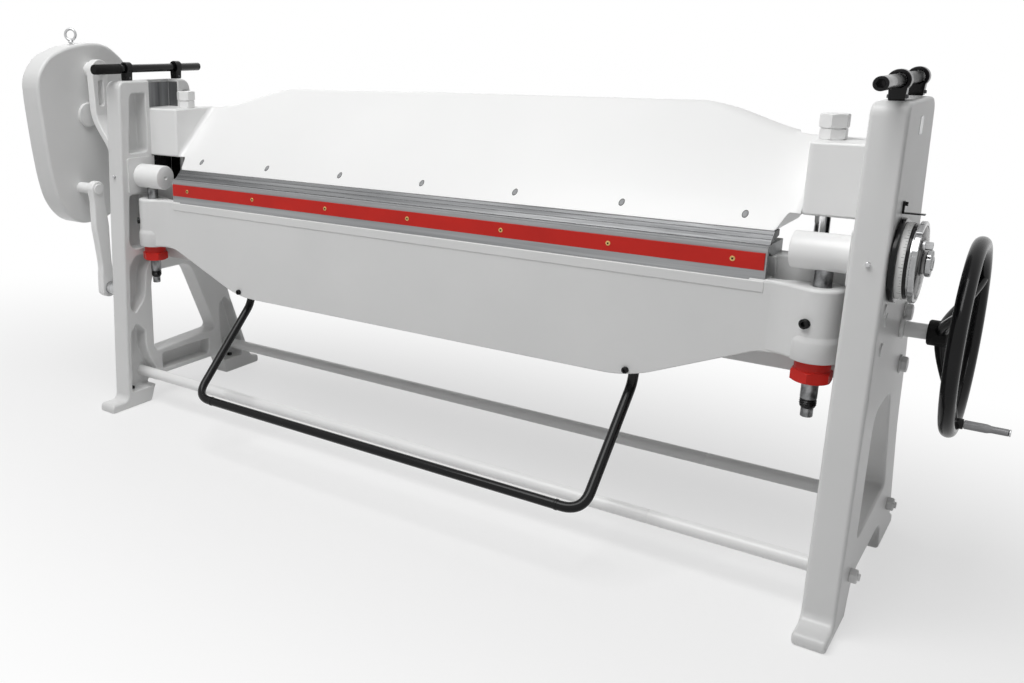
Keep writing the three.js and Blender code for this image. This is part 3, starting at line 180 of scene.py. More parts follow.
# Path of straight runs whose corners are curves that start and end at the bend's distance from the corner
def bentPath(turns, bends, steps=14):
    share = np.linspace(0, 1, steps)[:, None]
    stations = [turns[0][None]]
    for before, here, after, bend in zip(turns[:-2], turns[1:-1], turns[2:], bends):
        entering = here + (before - here) / np.linalg.norm(before - here) * bend
        leaving = here + (after - here) / np.linalg.norm(after - here) * bend
        stations.append((1 - share) ** 2 * entering + 2 * share * (1 - share) * here + share ** 2 * leaving)
    stations.append(turns[-1][None])
    return np.concatenate(stations)


# Outline of corners (a, b, rounding), each rounded off the same way as a bent path; a corner with no
# rounding stays a single point
def rounded(corners, steps=7):
    here = np.array([corner[:2] for corner in corners], float)
    parts = []
    for number, corner in enumerate(corners):
        reach = corner[2] if len(corner) > 2 else 0
        before = here[number - 1] - here[number]
        after = here[(number + 1) % len(corners)] - here[number]
        reach = min(reach, np.linalg.norm(before) * 0.49, np.linalg.norm(after) * 0.49)
        share = np.linspace(0, 1, steps)[:, None] if reach > 0 else np.array([[0.5]])
        entering = here[number] + before / np.linalg.norm(before) * reach
        leaving = here[number] + after / np.linalg.norm(after) * reach
        curve = (1 - share) ** 2 * entering + 2 * share * (1 - share) * here[number] + share ** 2 * leaving
        parts.append(curve)
    return np.concatenate(parts)


def rectangle(first, second, rounding=0):
    return rounded([(first[0], second[0], rounding), (first[1], second[0], rounding),
                    (first[1], second[1], rounding), (first[0], second[1], rounding)])


# Outline of a bar with round ends: each end is an arc as far as the straight sides that touch both circles
def linkOutline(start, startRadius, finish, finishRadius, steps=20):
    run = np.array(finish, float) - np.array(start, float)
    length = np.linalg.norm(run)
    heading = math.atan2(run[1], run[0])
    lean = math.acos((startRadius - finishRadius) / length)
    back = np.linspace(heading + lean, heading + fullTurn - lean, steps)
    front = np.linspace(heading - lean, heading + lean, steps)
    return np.concatenate([
        np.array(start) + startRadius * np.stack([np.cos(back), np.sin(back)], axis=1),
        np.array(finish) + finishRadius * np.stack([np.cos(front), np.sin(front)], axis=1),
    ])


# Outline moved inwards along the middle of its two neighbours' directions, or outwards for a negative inset
def drawnIn(outline, inset):
    ahead = np.roll(outline, -1, axis=0) - outline
    behind = outline - np.roll(outline, 1, axis=0)
    ahead = ahead / np.linalg.norm(ahead, axis=1, keepdims=True)
    behind = behind / np.linalg.norm(behind, axis=1, keepdims=True)
    direction = ahead + behind
    direction /= np.linalg.norm(direction, axis=1, keepdims=True)
    stretch = 1 / np.maximum(np.sum(direction * ahead, axis=1, keepdims=True), 0.4)
    area = np.sum(outline[:, 0] * np.roll(outline[:, 1], -1) - np.roll(outline[:, 0], -1) * outline[:, 1])
    inward = np.stack([-direction[:, 1], direction[:, 0]], axis=1) * np.sign(area)
    return outline + inward * inset * stretch


# Shape that passes through outlines of equally many points, each at its own place along the axis
def layered(axis, layers, ringed=False):
    first, second, third = axisOrder[axis]
    points = np.empty((len(layers), len(layers[0][1]), 3))
    for row, (along, outline) in enumerate(layers):
        points[row, :, first] = outline[:, 0]
        points[row, :, second] = outline[:, 1]
        points[row, :, third] = along
    return skin(points, ringed)


def plate(axis, outline, low, high):
    return layered(axis, [(low, outline), (high, outline)])


# Plate with a round hole: each point of the outline pairs with the hole's point at the same angle
def bored(axis, outline, low, high, centre, radius):
    outward = outline - np.array(centre)
    hole = np.array(centre) + outward / np.linalg.norm(outward, axis=1, keepdims=True) * radius
    return layered(axis, [(low, hole), (low, outline), (high, outline), (high, hole)], ringed=True)


# Quarter round as pairs of how deep and how far aside: depth is the radius times one minus the sine of a
# turn, and the step aside is the radius times one minus its cosine
def quarter(radius, steps=5):
    turn = np.linspace(math.pi / 2, 0, steps)
    return list(zip(radius * (1 - np.sin(turn)), radius * (1 - np.cos(turn))))


# Cutter for a pocket from its mouth to its floor, opened at the mouth's rim and drawn in at the floor
def pocketCutter(axis, outline, mouth, floor, rim, fillet):
    way = 1 if floor > mouth else -1
    layers = [(mouth - way * 8, drawnIn(outline, -rim))]
    layers += [(mouth + way * deep, drawnIn(outline, -aside)) for deep, aside in quarter(rim)]
    layers += [(floor - way * deep, drawnIn(outline, aside)) for deep, aside in quarter(fillet)[::-1]]
    return layered(axis, layers)


# Cutter for a window through a wall, opened at both rims
def windowCutter(axis, outline, low, high, rim):
    layers = [(low - 8, drawnIn(outline, -rim))]
    layers += [(low + deep, drawnIn(outline, -aside)) for deep, aside in quarter(rim)]
    layers += [(high - deep, drawnIn(outline, -aside)) for deep, aside in quarter(rim)[::-1]]
    layers += [(high + 8, drawnIn(outline, -rim))]
    return layered(axis, layers)


def meshOf(name, shape, crease):
    vertices, faces = shape
    mesh = bpy.data.meshes.new(name)
    mesh.from_pydata(((vertices + zero) / perMetre).tolist(), [], faces)
    work = bmesh.new()
    work.from_mesh(mesh)
    bmesh.ops.remove_doubles(work, verts=work.verts, dist=1e-6)
    bmesh.ops.dissolve_degenerate(work, edges=work.edges, dist=1e-6)
    bmesh.ops.recalc_face_normals(work, faces=work.faces)
    work.to_mesh(mesh)
    work.free()
    mesh.shade_smooth()
    mesh.set_sharp_from_angle(angle=math.radians(crease))
    return mesh


def soften(thing, edge, limit=50):
    bevel = thing.modifiers.new("soften", "BEVEL")
    bevel.width = edge / perMetre
    bevel.segments = 3
    bevel.limit_method = "ANGLE"
    bevel.angle_limit = math.radians(limit)
    bevel.use_clamp_overlap = False
    bevel.miter_outer = "MITER_ARC"


def inScene(name, data):
    thing = bpy.data.objects.new(name, data)
    bpy.context.scene.collection.objects.link(thing)
    return thing


# Solid cut and joined by others, after its own edges are rounded
def carved(shape, edge, cutters, joiners=()):
    base = inScene("blank", meshOf("blank", shape, 30))
    soften(base, edge)
    tools = [base]
    work = [("UNION", joiner) for joiner in joiners] + [("DIFFERENCE", cutter) for cutter in cutters]
    for operation, tool in work:
        other = inScene("tool", meshOf("tool", tool, 30))
        boolean = base.modifiers.new(operation, "BOOLEAN")
        boolean.operation = operation
        boolean.solver = "EXACT"
        boolean.object = other
        tools.append(other)
    evaluated = base.evaluated_get(bpy.context.evaluated_depsgraph_get())
    mesh = bpy.data.meshes.new_from_object(evaluated)
    points = np.empty(len(mesh.vertices) * 3)
    mesh.vertices.foreach_get("co", points)
    faces = [list(polygon.vertices) for polygon in mesh.polygons]
    for thing in tools:
        bpy.data.meshes.remove(thing.data)
    bpy.data.meshes.remove(mesh)
    return points.reshape(-1, 3) * perMetre - zero, faces


# Finish of each piece, by name
materials = {}


def piece(name, shape, finish, body, stands=(), edge=0, crease=35, weigh=False):
    thing = inScene(name, meshOf(name, shape, crease))
    thing.data.materials.append(materials[finish])
    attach(thing, body)
    if stands:
        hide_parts(*stands)
    if edge:
        soften(thing, edge)
    if edge or weigh:
        normals = thing.modifiers.new("normals", "WEIGHTED_NORMAL")
        normals.keep_sharp = True
    return thing


# ---- materials ----
# Node of one kind: each input in the dictionary, by name or number, is linked to a socket or takes a value
def newNode(nodes, links, kind, inputs, operation=None):
    node = nodes.new(f"ShaderNode{kind}")
    if operation:
        node.operation = operation
    for socket, value in inputs.items():
        if isinstance(value, bpy.types.NodeSocket):
            links.new(value, node.inputs[socket])
        else:
            node.inputs[socket].default_value = value
    return node


def newGroup(name, vectors, numbers, results):
    group = bpy.data.node_groups.new(name, "ShaderNodeTree")
    face = group.interface
    for socket in vectors:
        face.new_socket(socket, in_out="INPUT", socket_type="NodeSocketVector")
    for socket, value in numbers.items():
        face.new_socket(socket, in_out="INPUT", socket_type="NodeSocketFloat").default_value = value
    for socket in results:
        face.new_socket(socket, in_out="OUTPUT", socket_type="NodeSocketFloat")
    given, result = group.nodes.new("NodeGroupInput"), group.nodes.new("NodeGroupOutput")
    return group, group.nodes, group.links, given.outputs, result.inputs


# Fine bumps of sprayed enamel over a casting: two sizes of noise added, plus a slow change of tone
def sprayedGroup():
    group, nodes, links, given, result = newGroup(
        "sprayedSkin", ["Vector"], {"Grain": 160.0, "Swell": 14.0, "Tone": 2.2}, ["Height", "Mottle"])
    noises = []
    for name, detail in (("Grain", 3.0), ("Swell", 2.0), ("Tone", 4.0)):
        values = {"Vector": given["Vector"], "Scale": given[name], "Detail": detail}
        noises.append(newNode(nodes, links, "TexNoise", values).outputs["Fac"])
    swell = newNode(nodes, links, "Math", {0: noises[1], 1: 5.0, 2: noises[0]}, "MULTIPLY_ADD")
    links.new(swell.outputs[0], result["Height"])
    links.new(noises[2], result["Mottle"])
    return group


# Edge mask: one minus the dot product of the surface's direction and the same direction rounded over a small
# radius, times a strength and a noise that makes it patchy
def rubbedGroup():
    group, nodes, links, given, result = newGroup(
        "rubbedEdge", ["Vector"], {"Radius": 0.003, "Strength": 6.0, "Patches": 35.0}, ["Mask"])
    edge = newNode(nodes, links, "Bevel", {"Radius": given["Radius"]})
    edge.samples = 4
    surface = newNode(nodes, links, "NewGeometry", {})
    directions = {0: edge.outputs["Normal"], 1: surface.outputs["Normal"]}
    facing = newNode(nodes, links, "VectorMath", directions, "DOT_PRODUCT")
    away = newNode(nodes, links, "Math", {0: 1.0, 1: facing.outputs["Value"]}, "SUBTRACT")
    strong = newNode(nodes, links, "Math", {0: away.outputs[0], 1: given["Strength"]}, "MULTIPLY")
    values = {"Vector": given["Vector"], "Scale": given["Patches"], "Detail": 5.0}
    patches = newNode(nodes, links, "TexNoise", values)
    mask = newNode(nodes, links, "Math", {0: strong.outputs[0], 1: patches.outputs["Fac"]}, "MULTIPLY")
    mask.use_clamp = True
    links.new(mask.outputs[0], result["Mask"])
    return group


# Tool marks: noise squeezed across the direction of grinding or turning, so that it draws long lines
def toolMarkGroup():
    group, nodes, links, given, result = newGroup(
        "toolMarks", ["Vector", "Stretch"], {"Scale": 400.0}, ["Lines", "Bands"])
    squeeze = newNode(nodes, links, "VectorMath", {0: given["Vector"], 1: given["Stretch"]}, "MULTIPLY")
    for socket, share in (("Lines", 1.0), ("Bands", 0.12)):
        size = newNode(nodes, links, "Math", {0: given["Scale"], 1: share}, "MULTIPLY").outputs[0]
        values = {"Vector": squeeze.outputs[0], "Scale": size, "Detail": 4.0}
        links.new(newNode(nodes, links, "TexNoise", values).outputs["Fac"], result[socket])
    return group


groups = {"sprayed": sprayedGroup(), "rubbed": rubbedGroup(), "marks": toolMarkGroup()}


def groupNode(nodes, kind, values):
    node = nodes.new("ShaderNodeGroup")
    node.node_tree = groups[kind]
    for name, value in values.items():
        node.inputs[name].default_value = value
    return node


def newMaterial(name, shaderValues):
    material = bpy.data.materials.new(name)
    material.use_nodes = True
    shader = material.node_tree.nodes["Principled BSDF"]
    for socket, value in shaderValues.items():
        shader.inputs[socket].default_value = value
    materials[name] = material
    return material.node_tree.nodes, material.node_tree.links, shader


def mixOf(nodes, links, mask, first, second):
    mix = nodes.new("ShaderNodeMix")
    mix.data_type = "RGBA"
    links.new(mask, mix.inputs["Factor"])
    for socket, colour in (("A", first), ("B", second)):
        target = [entry for entry in mix.inputs if entry.name == socket and entry.type == "RGBA"][0]
        if isinstance(colour, tuple):
            target.default_value = (*colour, 1)
        else:
            links.new(colour, target)
    return [entry for entry in mix.outputs if entry.type == "RGBA"][0]


def rangeOf(nodes, links, value, low, high, fromLow=0.3, fromHigh=0.7):
    limits = {"From Min": fromLow, "From Max": fromHigh, "To Min": low, "To Max": high}
    return newNode(nodes, links, "MapRange", {"Value": value, **limits}).outputs["Result"]


def bumpOf(nodes, links, height, strength, distance):
    values = {"Strength": strength, "Distance": distance, "Height": height}
    return newNode(nodes, links, "Bump", values).outputs["Normal"]


# Paint: a slow change of tone that also sets the roughness, fine sprayed bumps, and edges rubbed thin
def paintedFinish(name, look):
    nodes, links, shader = newMaterial(name, look["shader"])
    place = nodes.new("ShaderNodeTexCoord").outputs["Object"]
    noise = {"Grain": look["grain"], "Swell": look["swell"], "Tone": look["tone"]}
    sprayed = groupNode(nodes, "sprayed", noise)
    rubbed = groupNode(nodes, "rubbed", {"Radius": look["rubRadius"], "Strength": look["rub"]})
    links.new(place, sprayed.inputs["Vector"])
    links.new(place, rubbed.inputs["Vector"])
    tone = rangeOf(nodes, links, sprayed.outputs["Mottle"], 0, 1)
    paint = mixOf(nodes, links, tone, look["dark"], look["light"])
    links.new(mixOf(nodes, links, rubbed.outputs["Mask"], paint, look["rubbed"]), shader.inputs["Base Color"])
    rough = rangeOf(nodes, links, sprayed.outputs["Mottle"], *look["roughness"])
    links.new(rough, shader.inputs["Roughness"])
    bumps = bumpOf(nodes, links, sprayed.outputs["Height"], look["bump"], look["depth"])
    links.new(bumps, shader.inputs["Normal"])


# Bare metal: lines along the tool's way in the roughness, the tone and a little in the height
def metalFinish(name, look):
    nodes, links, shader = newMaterial(name, look["shader"])
    place = nodes.new("ShaderNodeTexCoord").outputs["Object"]
    marks = groupNode(nodes, "marks", {"Stretch": look["stretch"], "Scale": look["scale"]})
    rubbed = groupNode(nodes, "rubbed", {"Radius": 0.0015, "Strength": 5.0})
    links.new(place, marks.inputs["Vector"])
    links.new(place, rubbed.inputs["Vector"])
    tone = rangeOf(nodes, links, marks.outputs["Bands"], 0, 1)
    metal = mixOf(nodes, links, tone, look["dark"], look["light"])
    links.new(mixOf(nodes, links, rubbed.outputs["Mask"], metal, look["edge"]), shader.inputs["Base Color"])
    rough = rangeOf(nodes, links, marks.outputs["Lines"], *look["roughness"])
    links.new(rough, shader.inputs["Roughness"])
    bumps = bumpOf(nodes, links, marks.outputs["Lines"], look["bump"], look["depth"])
    links.new(bumps, shader.inputs["Normal"])


paints = {
    "enamelGrey": {
        "shader": {"Coat Weight": 0.12, "Coat Roughness": 0.25, "Specular IOR Level": 0.45},
        "dark": (0.735, 0.738, 0.735), "light": (0.775, 0.777, 0.773), "rubbed": (0.83, 0.83, 0.825),
        "roughness": (0.36, 0.46), "grain": 240.0, "swell": 22.0, "tone": 3.0,
        "rub": 2.5, "rubRadius": 0.004, "bump": 0.16, "depth": 0.0006,
    },
    "enamelWhite": {
        "shader": {"Coat Weight": 0.15, "Coat Roughness": 0.2, "Specular IOR Level": 0.45},
        "dark": (0.86, 0.862, 0.858), "light": (0.885, 0.886, 0.882), "rubbed": (0.90, 0.90, 0.895),
        "roughness": (0.32, 0.42), "grain": 260.0, "swell": 18.0, "tone": 2.0,
        "rub": 1.5, "rubRadius": 0.003, "bump": 0.10, "depth": 0.0005,
    },
    "redEnamel": {
        "shader": {"Coat Weight": 0.1, "Coat Roughness": 0.15, "Specular IOR Level": 0.2},
        "dark": (0.52, 0.014, 0.009), "light": (0.62, 0.020, 0.013), "rubbed": (0.34, 0.014, 0.010),
        "roughness": (0.34, 0.46), "grain": 320.0, "swell": 30.0, "tone": 6.0,
        "rub": 4.0, "rubRadius": 0.002, "bump": 0.10, "depth": 0.0004,
    },
    "blackEnamel": {
        "shader": {"Coat Weight": 0.18, "Coat Roughness": 0.05, "Specular IOR Level": 0.12},
        "dark": (0.0025, 0.0025, 0.003), "light": (0.005, 0.005, 0.0055), "rubbed": (0.025, 0.025, 0.026),
        "roughness": (0.18, 0.30), "grain": 300.0, "swell": 26.0, "tone": 8.0,
        "rub": 3.0, "rubRadius": 0.002, "bump": 0.08, "depth": 0.0004,
    },
    "blackCasting": {
        "shader": {"Specular IOR Level": 0.15},
        "dark": (0.003, 0.003, 0.003), "light": (0.010, 0.010, 0.010), "rubbed": (0.05, 0.05, 0.05),
        "roughness": (0.5, 0.72), "grain": 420.0, "swell": 90.0, "tone": 24.0,
        "rub": 4.0, "rubRadius": 0.002, "bump": 0.9, "depth": 0.0012,
    },
    "gripRubber": {
        "shader": {"Specular IOR Level": 0.15},
        "dark": (0.006, 0.006, 0.006), "light": (0.011, 0.011, 0.011), "rubbed": (0.02, 0.02, 0.02),
        "roughness": (0.6, 0.78), "grain": 900.0, "swell": 120.0, "tone": 10.0,
        "rub": 2.0, "rubRadius": 0.002, "bump": 0.3, "depth": 0.0003,
    },
    "scaleWhite": {
        "shader": {"Specular IOR Level": 0.4},
        "dark": (0.82, 0.82, 0.81), "light": (0.86, 0.86, 0.85), "rubbed": (0.6, 0.6, 0.6),
        "roughness": (0.38, 0.5), "grain": 500.0, "swell": 40.0, "tone": 9.0,
        "rub": 3.0, "rubRadius": 0.0015, "bump": 0.06, "depth": 0.0002,
    },
    "plugGrey": {
        "shader": {"Specular IOR Level": 0.4},
        "dark": (0.24, 0.245, 0.25), "light": (0.33, 0.335, 0.34), "rubbed": (0.5, 0.5, 0.5),
        "roughness": (0.4, 0.55), "grain": 700.0, "swell": 90.0, "tone": 30.0,
        "rub": 3.0, "rubRadius": 0.001, "bump": 0.15, "depth": 0.0002,
    },
}
metals = {
    "groundSteel": {
        "shader": {"Metallic": 1.0}, "stretch": (0.015, 1.0, 1.0), "scale": 900.0,
        "dark": (0.25, 0.255, 0.26), "light": (0.36, 0.365, 0.37), "edge": (0.5, 0.5, 0.51),
        "roughness": (0.42, 0.58), "bump": 0.12, "depth": 0.0002,
    },
    "milledSteel": {
        "shader": {"Metallic": 1.0}, "stretch": (0.03, 1.0, 1.0), "scale": 420.0,
        "dark": (0.10, 0.102, 0.105), "light": (0.22, 0.223, 0.226), "edge": (0.4, 0.4, 0.41),
        "roughness": (0.45, 0.62), "bump": 0.2, "depth": 0.0003,
    },
    "slideSteel": {
        "shader": {"Metallic": 0.9}, "stretch": (1.0, 1.0, 0.04), "scale": 150.0,
        "dark": (0.035, 0.036, 0.038), "light": (0.30, 0.305, 0.31), "edge": (0.4, 0.4, 0.4),
        "roughness": (0.35, 0.6), "bump": 0.25, "depth": 0.0004,
    },
    "turnedSteel": {
        "shader": {"Metallic": 1.0}, "stretch": (1.0, 0.05, 0.05), "scale": 700.0,
        "dark": (0.38, 0.385, 0.39), "light": (0.55, 0.555, 0.56), "edge": (0.7, 0.7, 0.7),
        "roughness": (0.25, 0.42), "bump": 0.12, "depth": 0.0002,
    },
    "polishedSteel": {
        "shader": {"Metallic": 1.0}, "stretch": (0.05, 0.05, 1.0), "scale": 600.0,
        "dark": (0.80, 0.805, 0.81), "light": (0.90, 0.905, 0.91), "edge": (0.9, 0.9, 0.9),
        "roughness": (0.10, 0.20), "bump": 0.05, "depth": 0.0002,
    },
    "blotchedSteel": {
        "shader": {"Metallic": 0.9}, "stretch": (1.0, 1.0, 0.8), "scale": 420.0,
        "dark": (0.05, 0.05, 0.052), "light": (0.34, 0.345, 0.35), "edge": (0.4, 0.4, 0.4),
        "roughness": (0.3, 0.5), "bump": 0.2, "depth": 0.0003,
    },
    "satinSteel": {
        "shader": {"Metallic": 1.0}, "stretch": (0.1, 1.0, 1.0), "scale": 500.0,
        "dark": (0.20, 0.20, 0.205), "light": (0.30, 0.30, 0.305), "edge": (0.45, 0.45, 0.45),
        "roughness": (0.45, 0.6), "bump": 0.08, "depth": 0.0002,
    },
    "darkSteel": {
        "shader": {"Metallic": 0.85}, "stretch": (0.06, 0.06, 1.0), "scale": 600.0,
        "dark": (0.030, 0.030, 0.032), "light": (0.075, 0.076, 0.080), "edge": (0.25, 0.25, 0.26),
        "roughness": (0.28, 0.45), "bump": 0.15, "depth": 0.0003,
    },
    "chromed": {
        "shader": {"Metallic": 1.0}, "stretch": (1.0, 0.2, 0.2), "scale": 500.0,
        "dark": (0.24, 0.243, 0.246), "light": (0.40, 0.404, 0.408), "edge": (0.65, 0.65, 0.65),
        "roughness": (0.12, 0.24), "bump": 0.05, "depth": 0.0002,
    },
    "bronze": {
        "shader": {"Metallic": 1.0}, "stretch": (0.05, 0.05, 1.0), "scale": 600.0,
        "dark": (0.42, 0.27, 0.09), "light": (0.60, 0.42, 0.16), "edge": (0.72, 0.55, 0.25),
        "roughness": (0.28, 0.44), "bump": 0.12, "depth": 0.0002,
    },
}
for finishName, finishLook in paints.items():
    paintedFinish(finishName, finishLook)
for finishName, finishLook in metals.items():
    metalFinish(finishName, finishLook)
print("finishes made:", len(materials))

# ---- side frames ----
# Outlines as shares of the frame's depth behind the fold line and of its height, with a rounding
frames = {
    "outline": [
        (-0.234, 0), (-0.234, 0.026, 0.018), (-0.141, 0.026, 0.030), (-0.098, 1, 0.037),
        (0.326, 1, 0.054), (0.366, 0.790, 0.060), (0.509, 0.449, 0.072), (0.541, 0.305, 0.072),
        (0.668, 0.096, 0.048), (0.709, 0.032, 0.030), (0.766, 0.026, 0.018), (0.766, 0),
        (0.520, 0), (0.479, 0.077, 0.060), (0.048, 0.077, 0.060), (0.006, 0),
    ],
    "window": [(0.036, 0.160, 0.036), (0.453, 0.172, 0.036), (0.285, 0.419, 0.054), (0.036, 0.419, 0.072)],
    "pockets": [
        [(-0.060, 0.790, 0.016), (0.050, 0.790, 0.016), (0.050, 0.965, 0.016), (-0.041, 0.965, 0.030)],
        [(-0.069, 0.665, 0.016), (-0.084, 0.521, 0.016), (-0.057, 0.500, 0.016), (0.043, 0.500, 0.016),
         (0.043, 0.665, 0.016)],
        [(-0.096, 0.317, 0.016), (-0.091, 0.449, 0.016), (-0.050, 0.479, 0.016), (0.072, 0.479, 0.016),
         (0.007, 0.433, 0.036), (-0.010, 0.340, 0.036), (-0.072, 0.299, 0.016)],
        [(-0.113, 0.050, 0.016), (-0.103, 0.241, 0.016), (-0.067, 0.267, 0.016), (-0.014, 0.237, 0.016),
         (-0.018, 0.180, 0.036), (0.043, 0.096, 0.024), (0.048, 0.050, 0.016)],
        [(0.086, 0.093, 0.014), (0.081, 0.146, 0.014), (0.402, 0.146, 0.014), (0.395, 0.093, 0.014)],
        [(0.477, 0.249, 0.014), (0.519, 0.276, 0.014), (0.570, 0.245, 0.016), (0.622, 0.140, 0.024),
         (0.642, 0.048, 0.017), (0.503, 0.048, 0.017), (0.481, 0.160, 0.017)],
        [(0.279, 0.966, 0.012), (0.316, 0.966, 0.014), (0.330, 0.882, 0.014), (0.279, 0.882, 0.012)],
    ],
    "edge": 9, "web": 20, "rim": 5, "fillet": 8,
    "blockFront": -64, "blockBack": 56, "blockBelow": 62, "blockAbove": 68, "blockProud": 6,
    "slotFront": 59.5, "slotBack": 212.5, "stepBack": 72, "liner": 0.3,
    "pads": [(-0.048, 0.6335), (-0.013, 0.612), (-0.025, 0.557)], "padRadius": 16, "padProud": 3,
    "footScrews": [(-63.5, 62.3), (492.7, 59.9)], "footScrewRadius": 10, "footSocket": 9,
    "footSocketFloor": 3, "greaseScrew": -0.1103, "greaseRows": [(-8, 2.5), (-8, 4.4), (-7.2, 5.2), (2, 5.2)],
    # thickness of the black sheets that are painted shade in the slot beside the end block
    "slotLiner": 0.4,
}
frameLow, frameHigh = ends("frame_right")
frameDepth = frameHigh[1] - frameLow[1]
frameHeight = frameHigh[2]
frameInner = frameLow[0] + frames["blockProud"]
frameOuter = frameHigh[0] - frames["padProud"]
frameMiddle = (frameInner + frameOuter) / 2


def inFrame(shares):
    return [(y * frameDepth, z * frameHeight, *[r * frameDepth for r in rounding])
            for y, z, *rounding in shares]


def sideFrame(side):
    inner, outer = side * frameInner, side * frameOuter
    web = side * (frameOuter - frames["web"])
    low, high = min(inner, outer), max(inner, outer)
    top = frameHeight + 30
    bottom = foldHeight - frames["blockBelow"]
    above = foldHeight + frames["blockAbove"]
    block = plate("x", rectangle((frames["blockFront"], frames["blockBack"]), (bottom, above), 10),
                  side * (frameInner - frames["blockProud"]), web + side * 4)
    cutters = [windowCutter("x", rounded(inFrame(frames["window"])), low, high, 7)]
    cutters += [pocketCutter("x", rounded(inFrame(pocket)), inner, web, frames["rim"], frames["fillet"])
                for pocket in frames["pockets"]]
    slot = rounded([
        (frames["slotFront"], above), (frames["slotFront"], top), (frames["slotBack"], top),
        (frames["slotBack"], bottom), (frames["stepBack"], bottom), (frames["stepBack"], above),
    ])
    cutters.append(plate("x", slot, inner - side * 9, web))
    blank = plate("x", rounded(inFrame(frames["outline"])), low, high)
    pads = []
    for y, z in frames["pads"]:
        pads.append(spun("x", (y * frameDepth, z * frameHeight),
                         barRows(frames["padRadius"], outer - side * 4, outer + side * frames["padProud"])))
    return together(carved(blank, frames["edge"], cutters, [block]), *pads)


def slideLiner(side):
    web = side * (frameOuter - frames["web"])
    thin = frames["liner"]
    bottom = foldHeight + frames["blockAbove"] + 3
    top = frameHeight - 10
    floor = rectangle((frames["slotFront"] + 1, frames["slotBack"] - 1), (bottom, top))
    wall = rectangle((bottom, top), (web - side * 1, side * (frameInner + 7)))
    return together(
        plate("x", floor, web, web - side * thin),
        plate("y", wall, frames["slotFront"], frames["slotFront"] + thin),
        plate("y", wall, frames["slotBack"] - thin, frames["slotBack"]),
    )


# The slideway's thin steel liner shows above the step, and black sheets on the slot's floor and back wall
# beside the end block are painted shade
for side, name in bothSides:
    piece(f"frame_{name}_casting", sideFrame(side), "enamelGrey", "base", [f"frame_{name}"], weigh=True)
    piece(f"frame_{name}_slide", slideLiner(side), "slideSteel", "base")
    web = side * (frameOuter - frames["web"])
    # Black sheets on the slot's floor and back wall beside the end block: painted shade
    slotHeight = (foldHeight - frames["blockBelow"] + 2, foldHeight + frames["blockAbove"] - 1)
    shadePanel = rectangle((frames["stepBack"] + 1, frames["slotBack"] - 1), slotHeight)
    wall = rectangle(slotHeight, (web - side * 1, side * (frameInner + 7)))
    paintedShade = together(plate("x", shadePanel, web, web - side * frames["slotLiner"]),
                      plate("y", wall, frames["slotBack"] - frames["slotLiner"], frames["slotBack"]))
    piece(f"frame_{name}_slot", paintedShade, "blackCasting", "base")
    for order, (y, z) in zip(("front", "rear"), frames["footScrews"]):
        floor = frames["footSocketFloor"]
        rows = socketRows(frames["footScrewRadius"], frames["footSocket"], z + 9, z + floor, z - floor)
        piece(f"foot_screw_{name}_{order}", spun("z", (side * frameMiddle, y), rows), "blackEnamel", "base")
    rows = [(frames["greaseScrew"] * frameDepth + along, radius) for along, radius in frames["greaseRows"]]
    piece(f"grease_screw_{name}", spun("y", (foldHeight + 1, side * frameMiddle), rows, 24), "turnedSteel",
          "base")
print("side frames made")

# ---- tie bars and the bed's bolts ----
tieBar = {"radius": 20, "endRadius": 9, "nutFlats": 34, "nutHeight": 16, "endProud": 6,
          "grooves": (-790, 790), "grooveHalf": 1.5, "grooveDepth": 0.8}
for name in ("front", "rear"):
    node = f"tie_bar_{name}"
    centre = centreOf(node, "x")
    face = frameOuter - frames["web"] - seatGap
    rows = [(-face, tieBar["radius"])]
    for place in tieBar["grooves"]:
        half, deep = tieBar["grooveHalf"], tieBar["radius"] - tieBar["grooveDepth"]
        rows += [(place - half - 1, tieBar["radius"]), (place - half, deep), (place + half, deep),
                 (place + half + 1, tieBar["radius"])]
    rows.append((face, tieBar["radius"]))
    shapes = [spun("x", centre, rows)]
    for side in (-1, 1):
        nutFace = side * (frameOuter + seatGap)
        nutEnd = nutFace + side * tieBar["nutHeight"]
        nutRows = hexRows(tieBar["nutFlats"], min(nutFace, nutEnd), max(nutFace, nutEnd))
        endRows = barRows(tieBar["endRadius"], side * (face - 5), nutEnd + side * tieBar["endProud"])
        shapes += [spun("x", centre, nutRows), spun("x", centre, endRows)]
    piece(f"{node}_pipe", together(*shapes), "enamelWhite", "base", [node], crease=28)

bedBolt = {"washer": 24, "washerHeight": 4, "flats": 36, "headHeight": 13}
for name in ("left_upper", "left_lower", "right_upper", "right_lower"):
    node = f"bed_bolt_{name}"
    side = -1 if name.startswith("left") else 1
    centre = centreOf(node, "x")
    face = side * (frameOuter + seatGap)
    seat = face + side * bedBolt["washerHeight"]
    head = seat + side * bedBolt["headHeight"]
    shape = together(
        spun("x", centre, barRows(bedBolt["washer"], min(face, seat), max(face, seat), 0.8)),
        spun("x", centre, hexRows(bedBolt["flats"], min(seat, head), max(seat, head))),
    )
    piece(f"{node}_head", shape, "enamelGrey", "base", [node], crease=28)
print("tie bars and bolts made")

# ---- bed ----
bed = {"nose": 34, "front": 66, "back": 340, "wall": 30, "slope": 56, "endPlate": 20, "rib": 16,
       "reliefStart": 1026, "floorRise": 37, "ledgeHalf": 940, "ledgeFront": 120.5, "ledgeDrop": 2,
       "padRadius": 45, "edge": 3.0, "ribShares": (-0.87, -0.58, -0.29, 0, 0.29, 0.58, 0.87)}
bedLow, bedHigh = ends("bed")


